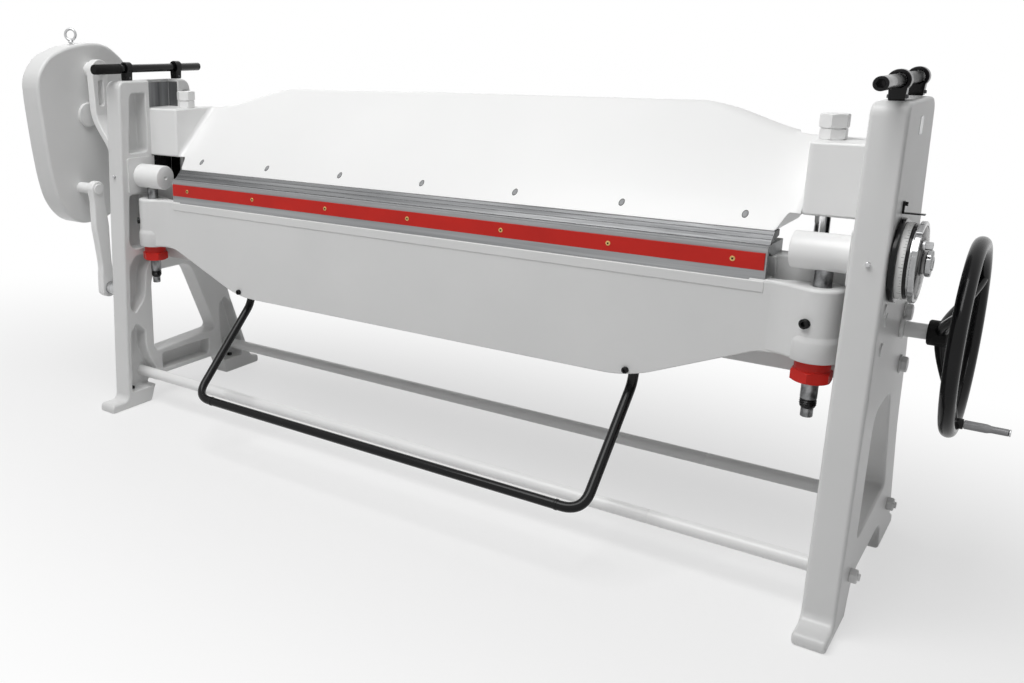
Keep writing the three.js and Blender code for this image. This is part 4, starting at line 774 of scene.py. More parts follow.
def bedSection(nose, back, inset=0):
    top, bottom, wall = bedHigh[2] - inset, bedLow[2] + bed["floorRise"], bed["wall"]
    ledge = top - bed["ledgeDrop"]
    return np.array([
        (nose, top), (bed["ledgeFront"], top), (bed["ledgeFront"] + 0.5, ledge), (back, ledge),
        (back, top - wall), (bed["front"] + wall, top - wall), (bed["front"] + wall, bottom + wall),
        (bed["back"], bottom + wall),
        (bed["back"], bottom), (bed["front"] + inset, bottom), (bed["front"] + inset, top - bed["slope"]),
    ], float)


bedEnd = bedHigh[0]
bedFloor = bedLow[2] + bed["floorRise"]
shapes = [plate("x", bedSection(bed["nose"], bed["back"]), -bed["ledgeHalf"], bed["ledgeHalf"])]
endSection = np.array([(bed["front"] + 1, bedFloor), (bed["front"] + bed["ledgeFront"], bedLow[2]),
                       (bed["back"], bedLow[2]), (bed["back"], bedHigh[2]), (bed["front"] + 1, bedHigh[2])])
spindlePlace = centreOf("spindle_right", "z")
nearEnd = bedSection(bed["nose"], bed["ledgeFront"] + 2, 0.05)
relief = bedSection(bed["front"] + 0.2, bed["ledgeFront"] + 2, 0.1)
for side in (-1, 1):
    shapes.append(plate("x", nearEnd, side * (bed["ledgeHalf"] - 4), side * bed["reliefStart"]))
    shapes.append(plate("x", relief, side * (bed["reliefStart"] - 5), side * (bedEnd - 1)))
    shapes.append(plate("x", endSection, side * (bedEnd - bed["endPlate"]), side * bedEnd))
    shapes.append(spun("z", (side * spindlePlace[0], spindlePlace[1]),
                       barRows(bed["padRadius"], bedHigh[2] - bed["wall"], bedHigh[2] - bed["ledgeDrop"])))
for share in bed["ribShares"]:
    middle = share * halfBlade
    shapes.append(plate("x", rectangle((bed["front"] + 5, bed["back"] - 2), (bedFloor + 5, bedHigh[2] - 5)),
                        middle - bed["rib"] / 2, middle + bed["rib"] / 2))
piece("bed_casting", together(*shapes), "enamelGrey", "base", ["bed"], edge=bed["edge"])

bladeLow, bladeHigh = ends("bed_blade")
bedBlade = rounded([
    (bladeLow[1], bladeHigh[2]), (bladeHigh[1], bladeHigh[2]), (bladeHigh[1], bladeLow[2]),
    (bed["nose"], bladeLow[2]), (bladeLow[1], (bladeLow[2] + bladeHigh[2]) / 2),
])
piece("bed_blade_ground", plate("x", bedBlade, -halfBlade, halfBlade), "groundSteel", "base", ["bed_blade"],
      edge=0.5)

# ---- clamping beam ----
beam = {
    "base": 30, "crease": 91, "ridgeBack": 330, "ridgeRise": 317, "lip": 22, "wall": 30, "flange": 45,
    "heel": 300, "ridgeHalf": 737, "half": 1028, "blockRise": 71, "blockHeight": 174, "guideFront": 60,
    "guideWidth": 152, "shoulder": 38, "flank": 1066, "fillet": 20, "blockBack": 264, "rib": 16, "edge": 6,
    "ribShares": (-0.96, -0.72, -0.48, -0.24, 0, 0.24, 0.48, 0.72, 0.96), "blockStep": 1205.5,
    "ribTo": [(150, 1030), (330, 1196), (300, 952)], "endRibTo": [(150, 1030), (270, 1112), (292, 952)],
    "plugPitchShare": 0.3074, "plugRadius": 6.4, "seatRadius": 7.6, "plugStretch": (1.0, 1.6),
}
beamHigh = ends("clamping_beam")[1]
creasePoint = (beam["crease"], foldHeight + beam["crease"])
faceSlope = (beam["ridgeRise"] - beam["crease"]) / (beam["ridgeBack"] - beam["crease"])
wallDrop = beam["wall"] * math.hypot(1, faceSlope)


# Smooth step: three times the square of the way from low to high, less twice its cube
def eased(value, low, high):
    share = np.clip((value - low) / (high - low), 0, 1)
    return share * share * (3 - 2 * share)


# Section at one place along the beam: the sloping wall is cut level at the height that the ridge has there.
# Near the end the foot rises, the hollow behind the wall closes, and the slope swells into the end block's
# flank by the fillet times one minus the root of one minus the squared share of the way
def beamSection(across):
    place = abs(across)
    share = np.clip((place - beam["ridgeHalf"]) / (beam["half"] - beam["ridgeHalf"]), 0, 1)
    fall = 0.5 * (share + share * share * (3 - 2 * share))
    low = foldHeight + beam["blockRise"] + beam["blockHeight"] - seatGap
    top = foldHeight + beam["ridgeRise"]
    top = top + (low - top) * fall
    rise = (beam["blockRise"] - beam["base"]) * eased(place, beam["half"] - 12, beam["half"] + 12)
    closed = eased(place, beam["half"] - beam["shoulder"], beam["half"] - beam["shoulder"] + 12)
    climb = np.clip((place - beam["flank"] + beam["fillet"]) / beam["fillet"], 0, 1)
    swell = beam["fillet"] * (1 - math.sqrt(1 - climb ** 2))
    lean = math.hypot(1, faceSlope)
    crease = (creasePoint[0] - swell * faceSlope / lean, creasePoint[1] + swell / lean)
    ridge = creasePoint[0] + (top - creasePoint[1] - swell * lean) / faceSlope
    behindTop = creasePoint[0] + (top - creasePoint[1] + wallDrop) / faceSlope
    back = min(beam["ridgeBack"] + beam["lip"], behindTop)
    under = creasePoint[1] + (back - creasePoint[0]) * faceSlope - wallDrop
    foot = foldHeight + beam["base"]
    inside = creasePoint[0] + (foot + beam["flange"] - creasePoint[1] + wallDrop) / faceSlope
    rear = beam["blockBack"]
    hollow = np.array([(back, top + 0.01), (back, under), (inside, foot + beam["flange"]),
                       (beam["heel"], foot + beam["flange"]), (beam["heel"], foot + rise)])
    levels = (top + 0.01, top - 60, top - 100, top - 140, foot + rise)
    solid = np.array([(rear, level) for level in levels])
    behind = hollow + (solid - hollow) * closed
    corners = [(beam["base"] + rise - swell * 0.7, foot + rise, 5), (*crease, 14),
               (ridge, top, 22 - 18 * closed)]
    corners += [(*point, edge) for point, edge in zip(behind, (4, 2, 10, 4, 4))]
    return rounded(corners, 5)


places = np.concatenate([
    np.linspace(beam["ridgeHalf"], beam["half"] - 44, 14),
    np.linspace(beam["half"] - 38, beam["half"] + 12, 22),
    np.linspace(beam["flank"] - beam["fillet"], beam["flank"] - 0.4, 9),
])
places = np.concatenate([-places[::-1], places])
piece("clamping_beam_casting", layered("x", [(place, beamSection(place)) for place in places]), "enamelWhite",
      "clamping", ["clamping_beam"], crease=40)
shapes = []
blockLow = foldHeight + beam["blockRise"]
for side in (-1, 1):
    plan = rounded([
        (side * (beam["flank"] - 0.2), beam["guideFront"], 12),
        (side * beamHigh[0], beam["guideFront"], 15),
        (side * beamHigh[0], beam["guideFront"] + beam["guideWidth"], 15),
        (side * beam["blockStep"], beam["guideFront"] + beam["guideWidth"], 15),
        (side * (beam["flank"] - 0.2), beam["blockBack"] - 2, 4),
    ])
    shapes.append(plate("z", plan, blockLow, blockLow + beam["blockHeight"]))
for share in beam["ribShares"]:
    middle = share * beam["half"] * 0.998
    section = [(creasePoint[0] + 10, foldHeight + beam["base"] + 20)]
    section += beam["ribTo"] if abs(share) < 0.9 else beam["endRibTo"]
    shapes.append(plate("x", np.array(section, float), middle - beam["rib"] / 2, middle + beam["rib"] / 2))
piece("clamping_beam_ends", together(*shapes), "enamelWhite", "clamping", edge=beam["edge"], crease=40)

clampLow, clampHigh = ends("clamping_blade")
tip = clampLow[1]
# The blade's sloping face as how far behind the fold line and how far below its top, with two grooves in it
clampBlade = {"tipRise": 13, "face": [(29.7, 0), (22.6, 7.1), (23.8, 7.9), (22.2, 9.5), (20.4, 9.3),
                                      (12.8, 16.9), (14.0, 17.7), (12.6, 19.1), (10.8, 18.9)]}
clampSection = rounded([
    (tip, clampLow[2]), (clampHigh[1], clampLow[2] + clampBlade["tipRise"]), (clampHigh[1], clampHigh[2]),
    *[(behind, clampHigh[2] - drop) for behind, drop in clampBlade["face"]],
])
piece("clamping_blade_ground", plate("x", clampSection, -halfBlade, halfBlade), "milledSteel", "clamping",
      ["clamping_blade"], edge=0.3)

plugTurn = Matrix.Rotation(math.pi / 4, 4, "X") @ Matrix.Diagonal((*beam["plugStretch"], 1, 1))
plugMiddle = (beam["base"] + beam["crease"]) / 2
for number in range(-3, 4):
    spot = (number * beam["plugPitchShare"] * halfBlade, plugMiddle, foldHeight + plugMiddle)
    radius = beam["plugRadius"]
    plug = [(-3, radius), (0.2, radius), (0.7, radius - 0.3), (1.0, radius - 1.2), (1.15, 2)]
    piece(f"beam_plug_{number + 4}", moved(spun("z", (0, 0), plug), plugTurn, spot), "plugGrey", "clamping")
    ring = [(-2, radius + 0.1), (0.25, radius + 0.1), (0.25, beam["seatRadius"]), (-2, beam["seatRadius"])]
    piece(f"beam_plug_seat_{number + 4}", moved(spun("z", (0, 0), ring, ringed=True), plugTurn, spot),
          "blackCasting", "clamping")

spindle = {"radius": 18, "nutFlats": 56, "capFlats": 60, "nutHeight": 27, "threadTop": 850, "pitch": 4,
           "depth": 1.8}
for name in ("left", "right"):
    centre = centreOf(f"spindle_{name}", "z")
    low, high = spanOf(f"spindle_{name}", "z")
    blockTop = blockLow + beam["blockHeight"]
    nutTop = blockTop + spindle["nutHeight"]
    lockNut = spun("z", centre, hexRows(spindle["nutFlats"], blockTop + seatGap, nutTop))
    piece(f"spindle_lock_nut_{name}_hex", lockNut, "enamelWhite", "clamping", [f"spindle_lock_nut_{name}"],
          crease=28)
    rows = [(low, spindle["radius"] - 2.5), (low + 2, spindle["radius"] - spindle["depth"])]
    rows += threadRows(spindle["radius"], spindle["depth"], spindle["pitch"], low + 3, spindle["threadTop"])
    rows += [(spindle["threadTop"] + 2, spindle["radius"]), (blockTop + 1, spindle["radius"])]
    piece(f"spindle_{name}_screw", spun("z", centre, rows), "polishedSteel", "clamping", [f"spindle_{name}"])
    cap = hexRows(spindle["capFlats"], nutTop + seatGap, high)
    cap += [(high, 9), (high - 1.2, 7)]
    piece(f"spindle_cap_{name}", spun("z", centre, cap), "enamelWhite", "clamping", crease=28)
print("beam, blades and spindles made")

# ---- folding beam ----
folding = {
    "front": 16, "back": 14, "bottomHalf": 705, "plateEnd": 1056, "bandHeight": 28, "bandProud": 2,
    "bandBack": 60, "rib": 14, "ribDepth": 190, "ribShares": (-0.87, -0.58, -0.29, 0, 0.29, 0.58, 0.87),
    "boss": 53, "collar": 57, "collarHeight": 58, "endBelow": 258, "bossBelow": 80, "neck": 40,
    "bore": 20.5, "bailPlace": 700, "padHalf": 17, "padBottom": 6, "padTop": 64, "padBack": 33.7,
    "bossFrom": -117.9, "bossTo": 119.4,
}
beamTop = barBox[0, 2] - seatGap
beamBottom = ends("folding_beam")[0][2]
bailPlace = folding["bailPlace"]
endBottom = foldHeight - folding["endBelow"]
endTop = foldHeight - folding["bossBelow"]
studPlace = centreOf("hinge_stud_right", "z")[0]
web = rounded([
    (beamTop, -folding["plateEnd"]), (endBottom, -folding["plateEnd"]), (endBottom, -halfBlade, 34),
    (beamBottom, -folding["bottomHalf"], 75), (beamBottom, folding["bottomHalf"], 75),
    (endBottom, halfBlade, 34), (endBottom, folding["plateEnd"]), (beamTop, folding["plateEnd"]),
], 12)
shapes = [plate("y", web, -folding["front"], folding["back"])]
band = rectangle((-folding["front"] - folding["bandProud"], folding["bandBack"]),
                 (beamTop - folding["bandHeight"], beamTop))
shapes.append(plate("x", band, -halfBlade, halfBlade))
for share in folding["ribShares"]:
    middle = share * halfBlade
    foot = beamTop - folding["bandHeight"]
    section = np.array([(folding["back"] - 4, foot + 8), (folding["bandBack"] - 1, foot + 8),
                        (folding["bandBack"] - 1, foot), (folding["back"], foot - folding["ribDepth"]),
                        (folding["back"] - 4, foot - folding["ribDepth"])], float)
    shapes.append(plate("x", section, middle - folding["rib"] / 2, middle + folding["rib"] / 2))
padHeight = (beamBottom + folding["padBottom"], beamBottom + folding["padTop"])
for side in (-1, 1):
    padSpan = (side * bailPlace - folding["padHalf"], side * bailPlace + folding["padHalf"])
    shapes.append(plate("y", rectangle(padHeight, padSpan, 8), 8, folding["padBack"]))
piece("folding_beam_plate", together(*shapes), "enamelGrey", "folding", ["folding_beam"], edge=2.5)


# End of the beam: a strip that widens into a round boss, with a collar low down whose top falls in to the
# boss along half a cosine wave
def beamEnd(side):
    centre = (side * studPlace, 0)
    turn = np.radians(np.linspace(folding["bossFrom"], folding["bossTo"], 44))
    arc = np.stack([studPlace + folding["boss"] * np.cos(turn), folding["boss"] * np.sin(turn)], axis=1)
    front, rear, root = 0.3 - folding["front"], folding["back"] - 0.3, halfBlade - 40
    bend = halfBlade + folding["neck"]
    strip = rounded([(root, rear), (root, front), (bend, front, 40), tuple(arc[0])], 12)[:-1]
    far = rounded([tuple(arc[-1]), (bend, rear, 40), (root, rear)], 12)[1:-1]
    outline = np.concatenate([strip, arc, far]) * (side, 1)
    arm = bored("z", outline, endBottom + 1, endTop, centre, folding["bore"])
    wide, narrow = folding["collar"], folding["boss"] - 1
    shoulder = endBottom + folding["collarHeight"]
    fall = 0.5 - 0.5 * np.cos(np.linspace(0, math.pi, 9))
    profile = [(endBottom, folding["bore"]), (endBottom, wide - 4), (endBottom + 1.2, wide - 1.4),
               (endBottom + 4, wide)]
    profile += [(shoulder - 12 + 24 * share, wide + (narrow - wide) * step)
                for share, step in zip(np.linspace(0, 1, 9), fall)]
    profile.append((shoulder + 12, folding["bore"]))
    return arm, spun("z", centre, profile, 72, ringed=True)


for side, name in bothSides:
    arm, collar = beamEnd(side)
    piece(f"beam_end_{name}", arm, "enamelGrey", "folding", edge=7, crease=40)
    piece(f"beam_collar_{name}", collar, "enamelGrey", "folding", crease=50)

# The bar's section has one shallow groove along its front face
barLow, barHigh = ends("folding_bar")
front, back, low, high = barLow[1], barHigh[1], barLow[2], barHigh[2]
section = rounded([(front, low), (back, low), (back, high), (front, high), (front, high - 5.2),
                   (front + 0.5, high - 5.6), (front, high - 6)])
piece("folding_bar_ground", plate("x", section, -halfBlade, halfBlade), "groundSteel", "folding",
      ["folding_bar"], edge=0.4)
stripLow, stripHigh = ends("red_strip")
piece("red_strip_plate", plate("x", rectangle((stripLow[1], stripHigh[1]), (stripLow[2], stripHigh[2])),
                               stripLow[0], stripHigh[0]), "redEnamel", "folding", ["red_strip"], edge=0.6)

stripScrew = {"radius": 5.5, "rimRadius": 6.4, "recess": 2.6, "height": 1.3, "pitch": 314.1}
stripMiddle = (stripLow[2] + stripHigh[2]) / 2
for number in range(-3, 4):
    across = number * stripScrew["pitch"]
    front = stripLow[1]
    turn = np.radians(np.linspace(8, 172, 16))
    half = stripScrew["radius"] * np.stack([np.sin(turn), np.cos(turn)], axis=1)
    shapes = [spun("y", (stripMiddle, across), barRows(stripScrew["rimRadius"], front - 0.5, front + 1, 0.4))]
    for way in (1, -1):
        outline = half * (way, way) + (stripMiddle, across)
        shapes.append(plate("y", outline, front - stripScrew["height"], front))
    piece(f"strip_screw_{number + 4}", together(*shapes), "bronze", "folding", edge=0.25)
    # A black disc in the middle of each screw head is painted shade for its hole
    recess = barRows(stripScrew["recess"], front - stripScrew["height"] - 0.3, front - 0.5, 0.15)
    piece(f"strip_screw_recess_shade_{number + 4}", spun("y", (stripMiddle, across), recess, 24), "blackEnamel",
          "folding")

# ---- trunnions, studs and their nuts ----
trunnion = {"radius": 44, "shaft": 25, "dimple": 7, "length": 129}
stud = {"radius": 20, "tailRadius": 14, "tailHeight": 26, "bandHeight": 36, "pitch": 5, "depth": 2.2,
        "threadHeight": 22}
nut = {"flats": 84, "height": 30, "shoulder": 40, "shoulderHeight": 24}
for side, name in bothSides:
    low, high = spanOf(f"trunnion_{name}", "x")
    near, far = (high, low) if side < 0 else (low, high)
    face = near + side * trunnion["length"]
    radius, shaft = trunnion["radius"], trunnion["shaft"]
    rows = [(near + side * 5, 1.5), (near + side * 1.2, trunnion["dimple"]), (near, trunnion["dimple"] + 1.2),
            (near, radius - 4), (near + side * 1.2, radius - 1.4), (near + side * 4, radius),
            (face - side * 3, radius), (face, radius - 3), (face, shaft), (far - side * 2, shaft),
            (far, shaft - 2)]
    piece(f"trunnion_{name}_turned", spun("x", (0, foldHeight), rows, 72), "enamelWhite", "swing",
          [f"trunnion_{name}"])
    centre = (side * studPlace, 0)
    low, high = spanOf(f"hinge_stud_{name}", "z")
    tail = low + stud["tailHeight"]
    threadTop = tail + stud["threadHeight"]
    bandTop = threadTop + stud["bandHeight"]
    radius, tailRadius = stud["radius"], stud["tailRadius"]
    thread = threadRows(radius - 0.5, stud["depth"], stud["pitch"], tail, threadTop)
    piece(f"hinge_stud_{name}_thread", spun("z", centre, [(tail - 4, tailRadius)] + thread), "blackEnamel",
          "swing", [f"hinge_stud_{name}"])
    rows = barRows(tailRadius, low, tail + 2, 2) + barRows(radius - 1, threadTop - 1, bandTop, 1)
    piece(f"hinge_stud_{name}_band", spun("z", centre, rows), "blotchedSteel", "swing")
    shank = spun("z", centre, barRows(radius, bandTop - 1, high, 1))
    piece(f"hinge_stud_{name}_shank", shank, "blotchedSteel", "swing")
    top = endBottom - seatGap
    middle = top - nut["shoulderHeight"]
    bore, shoulder = stud["radius"] + 1, nut["shoulder"]
    rows = [(middle - nut["height"], bore)] + hexRows(nut["flats"], middle - nut["height"], middle, 72)
    rows += [(middle, shoulder), (top - 2, shoulder), (top, shoulder - 2), (top, bore)]
    piece(f"adjusting_nut_{name}_hex", spun("z", centre, rows, 72, ringed=True), "redEnamel", f"nut_{name}",
          [f"adjusting_nut_{name}"], crease=28)

clampScrew = {"radius": 12, "height": 9, "socket": 12, "depth": 7, "turns": (-40, -18)}
for number, (side, name) in enumerate(bothSides):
    node = f"stud_clamp_screw_{name}"
    low, high = ends(node)
    seat = -folding["boss"] - seatGap
    top = seat - clampScrew["height"]
    rows = socketRows(clampScrew["radius"], clampScrew["socket"], top, top + clampScrew["depth"], seat + 3)
    turn = Matrix.Rotation(math.radians(clampScrew["turns"][number]), 4, "Z")
    place = (side * studPlace, 0, (low[2] + high[2]) / 2)
    piece(f"{node}_head", moved(spun("y", (0, 0), rows), turn, place), "blackEnamel", "folding", [node])
print("folding beam and trunnions made")

# ---- bail handle ----
bail = {"corners": [(48, 62), (48, -30), (-242, -307)], "radius": 14, "elbowBend": 34, "cornerBend": 60,
        "collar": 15.2}
turns = [np.array((-bailPlace, behind, beamBottom + rise), float) for behind, rise in bail["corners"]]
turns += [corner * (-1, 1, 1) for corner in turns[::-1]]
path = bentPath(turns, [bail["elbowBend"], bail["cornerBend"], bail["cornerBend"], bail["elbowBend"]])
shapes = [carried(path, bail["radius"], (0.0, -0.67, 0.74), 28)]
for side in (-1, 1):
    place = side * (bailPlace - bail["cornerBend"] - 12)
    centre = turns[2][1:]
    shapes.append(spun("x", centre, barRows(bail["collar"], place - 4, place + 4, 1.2)))
piece("bail_handle_pipe", together(*shapes), "blackEnamel", "folding", ["bail_handle"])
bailScrew = {"radius": 9, "height": 9, "socket": 8, "depth": 5}
for side, name in bothSides:
    node = f"bail_screw_{name}"
    centre = centreOf(node, "y")
    seat = -folding["front"] - seatGap
    top = seat - bailScrew["height"]
    rows = socketRows(bailScrew["radius"], bailScrew["socket"], top, top + bailScrew["depth"], seat + 2)
    piece(f"{node}_head", spun("y", centre, rows), "blackEnamel", "folding", [node])

# ---- cross shaft, gears and handwheel ----
drive = {"shaft": 14, "teeth": 14, "toothShare": 0.86, "twist": 0.9, "gearWidth": 40, "hub": 27,
         "flange": 24, "bush": 19, "sleeve": 19}
shaftCentre = centreOf("cross_shaft", "x")
shaftLow, shaftHigh = spanOf("cross_shaft", "x")
shaft = spun("x", shaftCentre, barRows(drive["shaft"], shaftLow, shaftHigh, 1.5))
piece("cross_shaft_turned", shaft, "turnedSteel", "drive", ["cross_shaft"])


# Gear: the radius rises to the tip and falls to the root once each tooth, through a steep wave held level
# at both ends, and the teeth turn by the twist over the gear's width
def gearRows(tipRadius, low, high, sides):
    angle = np.arange(sides) / sides * fullTurn
    rows = []
    for share in np.linspace(0, 1, 9):
        wave = np.clip(np.sin(drive["teeth"] * (angle - drive["twist"] * (share - 0.5))) * 1.8, -1, 1)
        root = tipRadius * drive["toothShare"]
        reach = (tipRadius + root) / 2 + (tipRadius - root) / 2 * wave
        cut = 1.2 if share in (0, 1) else 0
        rows.append((low + (high - low) * share, reach - cut))
    return rows


for name in ("left", "right"):
    node = f"spindle_gear_{name}"
    centre = centreOf(node, "z")
    low, high = spanOf(node, "z")
    tipRadius = (ends(node)[1][0] - ends(node)[0][0]) / 2
    middle = shaftCentre[1]
    half = drive["gearWidth"] / 2
    shape = together(spun("z", centre, barRows(drive["hub"], low, high, 2)),
                     spun("z", centre, gearRows(tipRadius, middle - half, middle + half, 168), 168))
    piece(f"{node}_wheel", shape, "bronze", f"spindle_drive_{name}", [node], crease=30)
    node = f"shaft_gear_{name}"
    low, high = spanOf(node, "x")
    tipRadius = (ends(node)[1][2] - ends(node)[0][2]) / 2
    gear = spun("x", shaftCentre, gearRows(tipRadius, low, high, 168), 168)
    piece(f"{node}_wheel", gear, "turnedSteel", "drive", [node], crease=30)

low, high = spanOf("shaft_bearing", "x")
bush = spun("x", shaftCentre, barRows(drive["bush"], low, high - 1, 1))
piece("shaft_bearing_bush", bush, "bronze", "base", ["shaft_bearing"])
flange = spun("x", shaftCentre, barRows(drive["flange"], frameOuter + seatGap, high, 1.5))
piece("shaft_bearing_flange", flange, "enamelWhite", "base")
low, high = spanOf("shaft_sleeve", "x")
sleeve = spun("x", shaftCentre, barRows(drive["sleeve"], low, high, 1.5))
piece("shaft_sleeve_tube", sleeve, "enamelWhite", "drive", ["shaft_sleeve"])

wheel = {"radius": 225, "rim": 17, "rimProud": 136, "rimSides": 96, "hub": 31, "hubLength": 44,
         "spokeStart": 8, "spokeDegrees": (-90, 30, 150), "spokeRoot": 15, "spokeTip": 10, "crankIn": 11,
         "crankBoss": 13}
wheelLow, wheelHigh = ends("handwheel")
rimAt = frameOuter + wheel["rimProud"]
angle = np.arange(wheel["rimSides"]) * fullTurn / wheel["rimSides"]
rimPath = np.stack([np.full(wheel["rimSides"], rimAt), shaftCentre[0] + wheel["radius"] * np.cos(angle),
                    shaftCentre[1] + wheel["radius"] * np.sin(angle)], axis=1)
shapes = [carried(rimPath, wheel["rim"], (1.0, 0.0, 0.0), 24, ringed=True)]
hubStart = wheelLow[0]
hubEnd = hubStart + wheel["hubLength"]
# Spokes lean out from the hub to the rim: each one's path is a slow curve, and it thins as it goes
for degrees in wheel["spokeDegrees"]:
    heading = math.radians(degrees)
    share = np.linspace(0, 1, 16)
    root, tipRadius = wheel["spokeRoot"], wheel["spokeTip"]
    reach = wheel["spokeStart"] + (wheel["radius"] - wheel["spokeStart"]) * share
    lean = hubEnd - root + (rimAt - hubEnd + root) * (3 * share ** 2 - 2 * share ** 3)
    path = np.stack([lean, shaftCentre[0] + reach * math.cos(heading),
                     shaftCentre[1] + reach * math.sin(heading)], axis=1)
    thickness = tipRadius + (root - tipRadius) * (1 - share) ** 2 + 5 * share ** 8
    shapes.append(carried(path, thickness, (1.0, 0.0, 0.0), 20))
crankCentre = (shaftCentre[0], shaftCentre[1] - wheel["radius"] + wheel["crankIn"])
shapes.append(spun("x", crankCentre, barRows(wheel["crankBoss"], rimAt - 4, wheelHigh[0], 2)))
piece("handwheel_rim", together(*shapes), "blackEnamel", "drive", ["handwheel"])
rows = [(hubStart, drive["shaft"] + 1), (hubStart, wheel["hub"] - 3), (hubStart + 3, wheel["hub"]),
        (hubEnd - 8, wheel["hub"]), (hubEnd - 3, wheel["hub"] - 2), (hubEnd, wheel["hub"] - 7),
        (hubEnd, drive["shaft"] + 1)]
piece("handwheel_hub", spun("x", shaftCentre, rows, ringed=True), "blackCasting", "drive")

low, high = spanOf("crank_pin", "x")
rows = [(low, 6), (high - 4.6, 6), (high - 4, 8), (high - 3.2, 9), (high - 1, 9), (high, 7.6)]
piece("crank_pin_turned", spun("x", crankCentre, rows, 32), "turnedSteel", "drive", ["crank_pin"])
# Handle: thick at first, then thinner by half a cosine wave, with rounded ends
crank = {"thick": 11, "thinner": 2.4, "from": 0.5, "over": 0.14}
low, high = spanOf("crank_handle", "x")
share = np.linspace(0, 1, 24)
way = np.clip((share - crank["from"]) / crank["over"], 0, 1)
swell = crank["thick"] - crank["thinner"] * (0.5 - 0.5 * np.cos(way * math.pi))
rows = [(low, 8)] + [(low + 1 + (high - low - 2) * s, r) for s, r in zip(share, swell)] + [(high, 6.5)]
piece("crank_handle_grip", spun("x", crankCentre, rows), "satinSteel", "crank", ["crank_handle"])
print("drive and handwheel made")

# ---- angle dial and stops ----
dial = {"disc": 95, "scale": 86, "stop": 91, "neck": 80, "bore": 25.4, "notches": 36, "notchDepth": 0.9,
        "gap": 6, "rim": 11, "neckLength": 5, "face": 82, "lugDegrees": 35, "lugHalf": 6, "lugProud": 4,
        "marks": 72, "markStep": 5, "longEvery": 45, "middleEvery": 15, "markLengths": (9, 7, 4.5),
        "markWidths": (0.9, 0.5), "screwWasher": 11, "screwFlats": 16, "screwEnd": 17}
axisCentre = (0, foldHeight)
low, high = spanOf("dial_disc", "x")
disc = spun("x", axisCentre, barRows(dial["disc"], low, high, 1.2), 96)
piece("dial_disc_turned", disc, "blackEnamel", "swing", ["dial_disc"])
low, high = spanOf("dial_scale", "x")
scaleEnd = high - dial["gap"]
ring = spun("x", axisCentre, barRows(dial["scale"], low, scaleEnd, 0.6), 96)
piece("dial_scale_ring", ring, "scaleWhite", "swing", ["dial_scale"])
marks = [spun("x", axisCentre, barRows(dial["scale"] - 1.5, scaleEnd - 1, high, 0.5), 96)]
for number in range(dial["marks"]):
    degrees = number * dial["markStep"]
    rank = 0 if degrees % dial["longEvery"] == 0 else 1 if degrees % dial["middleEvery"] == 0 else 2
    thick = dial["markWidths"][min(rank, 1)]
    section = rectangle((-thick / 2, thick / 2), (dial["scale"] - 1, dial["scale"] + 0.15))
    mark = plate("x", section, scaleEnd - dial["markLengths"][rank], scaleEnd - 0.5)
    marks.append(moved(mark, Matrix.Rotation(math.radians(degrees), 4, "X"), (0, 0, foldHeight)))
piece("dial_marks", together(*marks), "blackEnamel", "swing")

low, high = spanOf("stop_ring", "x")
start = low + dial["neckLength"]
rimEnd = start + dial["rim"]
spinAngle = np.arange(144) * fullTurn / 144
notch = dial["stop"] - dial["notchDepth"] * (np.cos(spinAngle * dial["notches"]) > 0.5)
bore, neck, stop, face = dial["bore"], dial["neck"], dial["stop"], dial["face"]
rows = [(low + 0.2, bore), (low + 0.2, neck), (start, neck), (start, stop - 1), (start + 0.8, notch),
        (rimEnd - 1.5, notch), (rimEnd - 0.6, stop - 1), (rimEnd, stop - 2), (rimEnd, face),
        (rimEnd - 3, face), (rimEnd - 3, bore)]
lugSpan = (dial["neck"], dial["stop"] + dial["lugProud"])
lug = plate("x", rectangle((-dial["lugHalf"], dial["lugHalf"]), lugSpan, 2), start, rimEnd)
lug = moved(lug, Matrix.Rotation(math.radians(dial["lugDegrees"]), 4, "X"), (0, 0, foldHeight))
piece("stop_ring_turned", together(spun("x", axisCentre, rows, 144, ringed=True), lug), "chromed", "stop",
      ["stop_ring"], crease=30)
rows = [(rimEnd - 4, dial["bore"]), (rimEnd - 4, dial["face"] - 0.5), (rimEnd - 1, dial["face"] - 0.5),
        (rimEnd + 1, dial["face"] - 6), (high, 44), (high, dial["bore"])]
piece("stop_ring_face", spun("x", axisCentre, rows, 96, ringed=True), "blackEnamel", "stop", crease=30)
centre = centreOf("stop_ring_screw", "x")
rows = barRows(dial["screwWasher"], high - 3, high + 3.5, 0.8)
rows += hexRows(dial["screwFlats"], high + 3.5, high + dial["screwEnd"])
piece("stop_ring_screw_hex", spun("x", centre, rows), "turnedSteel", "stop", ["stop_ring_screw"], crease=28)
low, high = spanOf("dial_cap", "x")
rows = [(low, 28.5), (low + 1.5, 30), (low + 8, 30), (low + 10, 28), (low + 10.5, 16), (low + 12.5, 15),
        (low + 12.5, 9), (low + 5, 8.5)]
piece("dial_cap_knob", spun("x", axisCentre, rows, 96), "chromed", "swing", ["dial_cap"], crease=30)
# A black disc at the floor of the cap's bore is painted shade
piece("dial_cap_hole_shade", spun("x", axisCentre, [(low + 5, 8.4), (low + 6.5, 8.4)], 48), "blackEnamel", "swing")
fixedStop = {"half": 6, "finger": 3.2, "shorter": 10, "foot": 4.5, "footRise": 3, "boltFlats": 8,
             "boltEnd": 9}
low, high = ends("fixed_stop")
across = (-fixedStop["half"], fixedStop["half"])
finger = plate("x", rectangle(across, (low[2], low[2] + fixedStop["finger"]), 1), low[0],
               high[0] - fixedStop["shorter"])
foot = plate("x", rectangle(across, (low[2], high[2] + fixedStop["footRise"]), 2), low[0],
             low[0] + fixedStop["foot"])
piece("fixed_stop_bracket", together(finger, foot), "blackEnamel", "base", ["fixed_stop"], edge=0.8)
rows = hexRows(fixedStop["boltFlats"], low[0] + 4, low[0] + fixedStop["boltEnd"])
piece("fixed_stop_bolt", spun("x", (0, high[2] - 3), rows), "blackCasting", "base", crease=28)

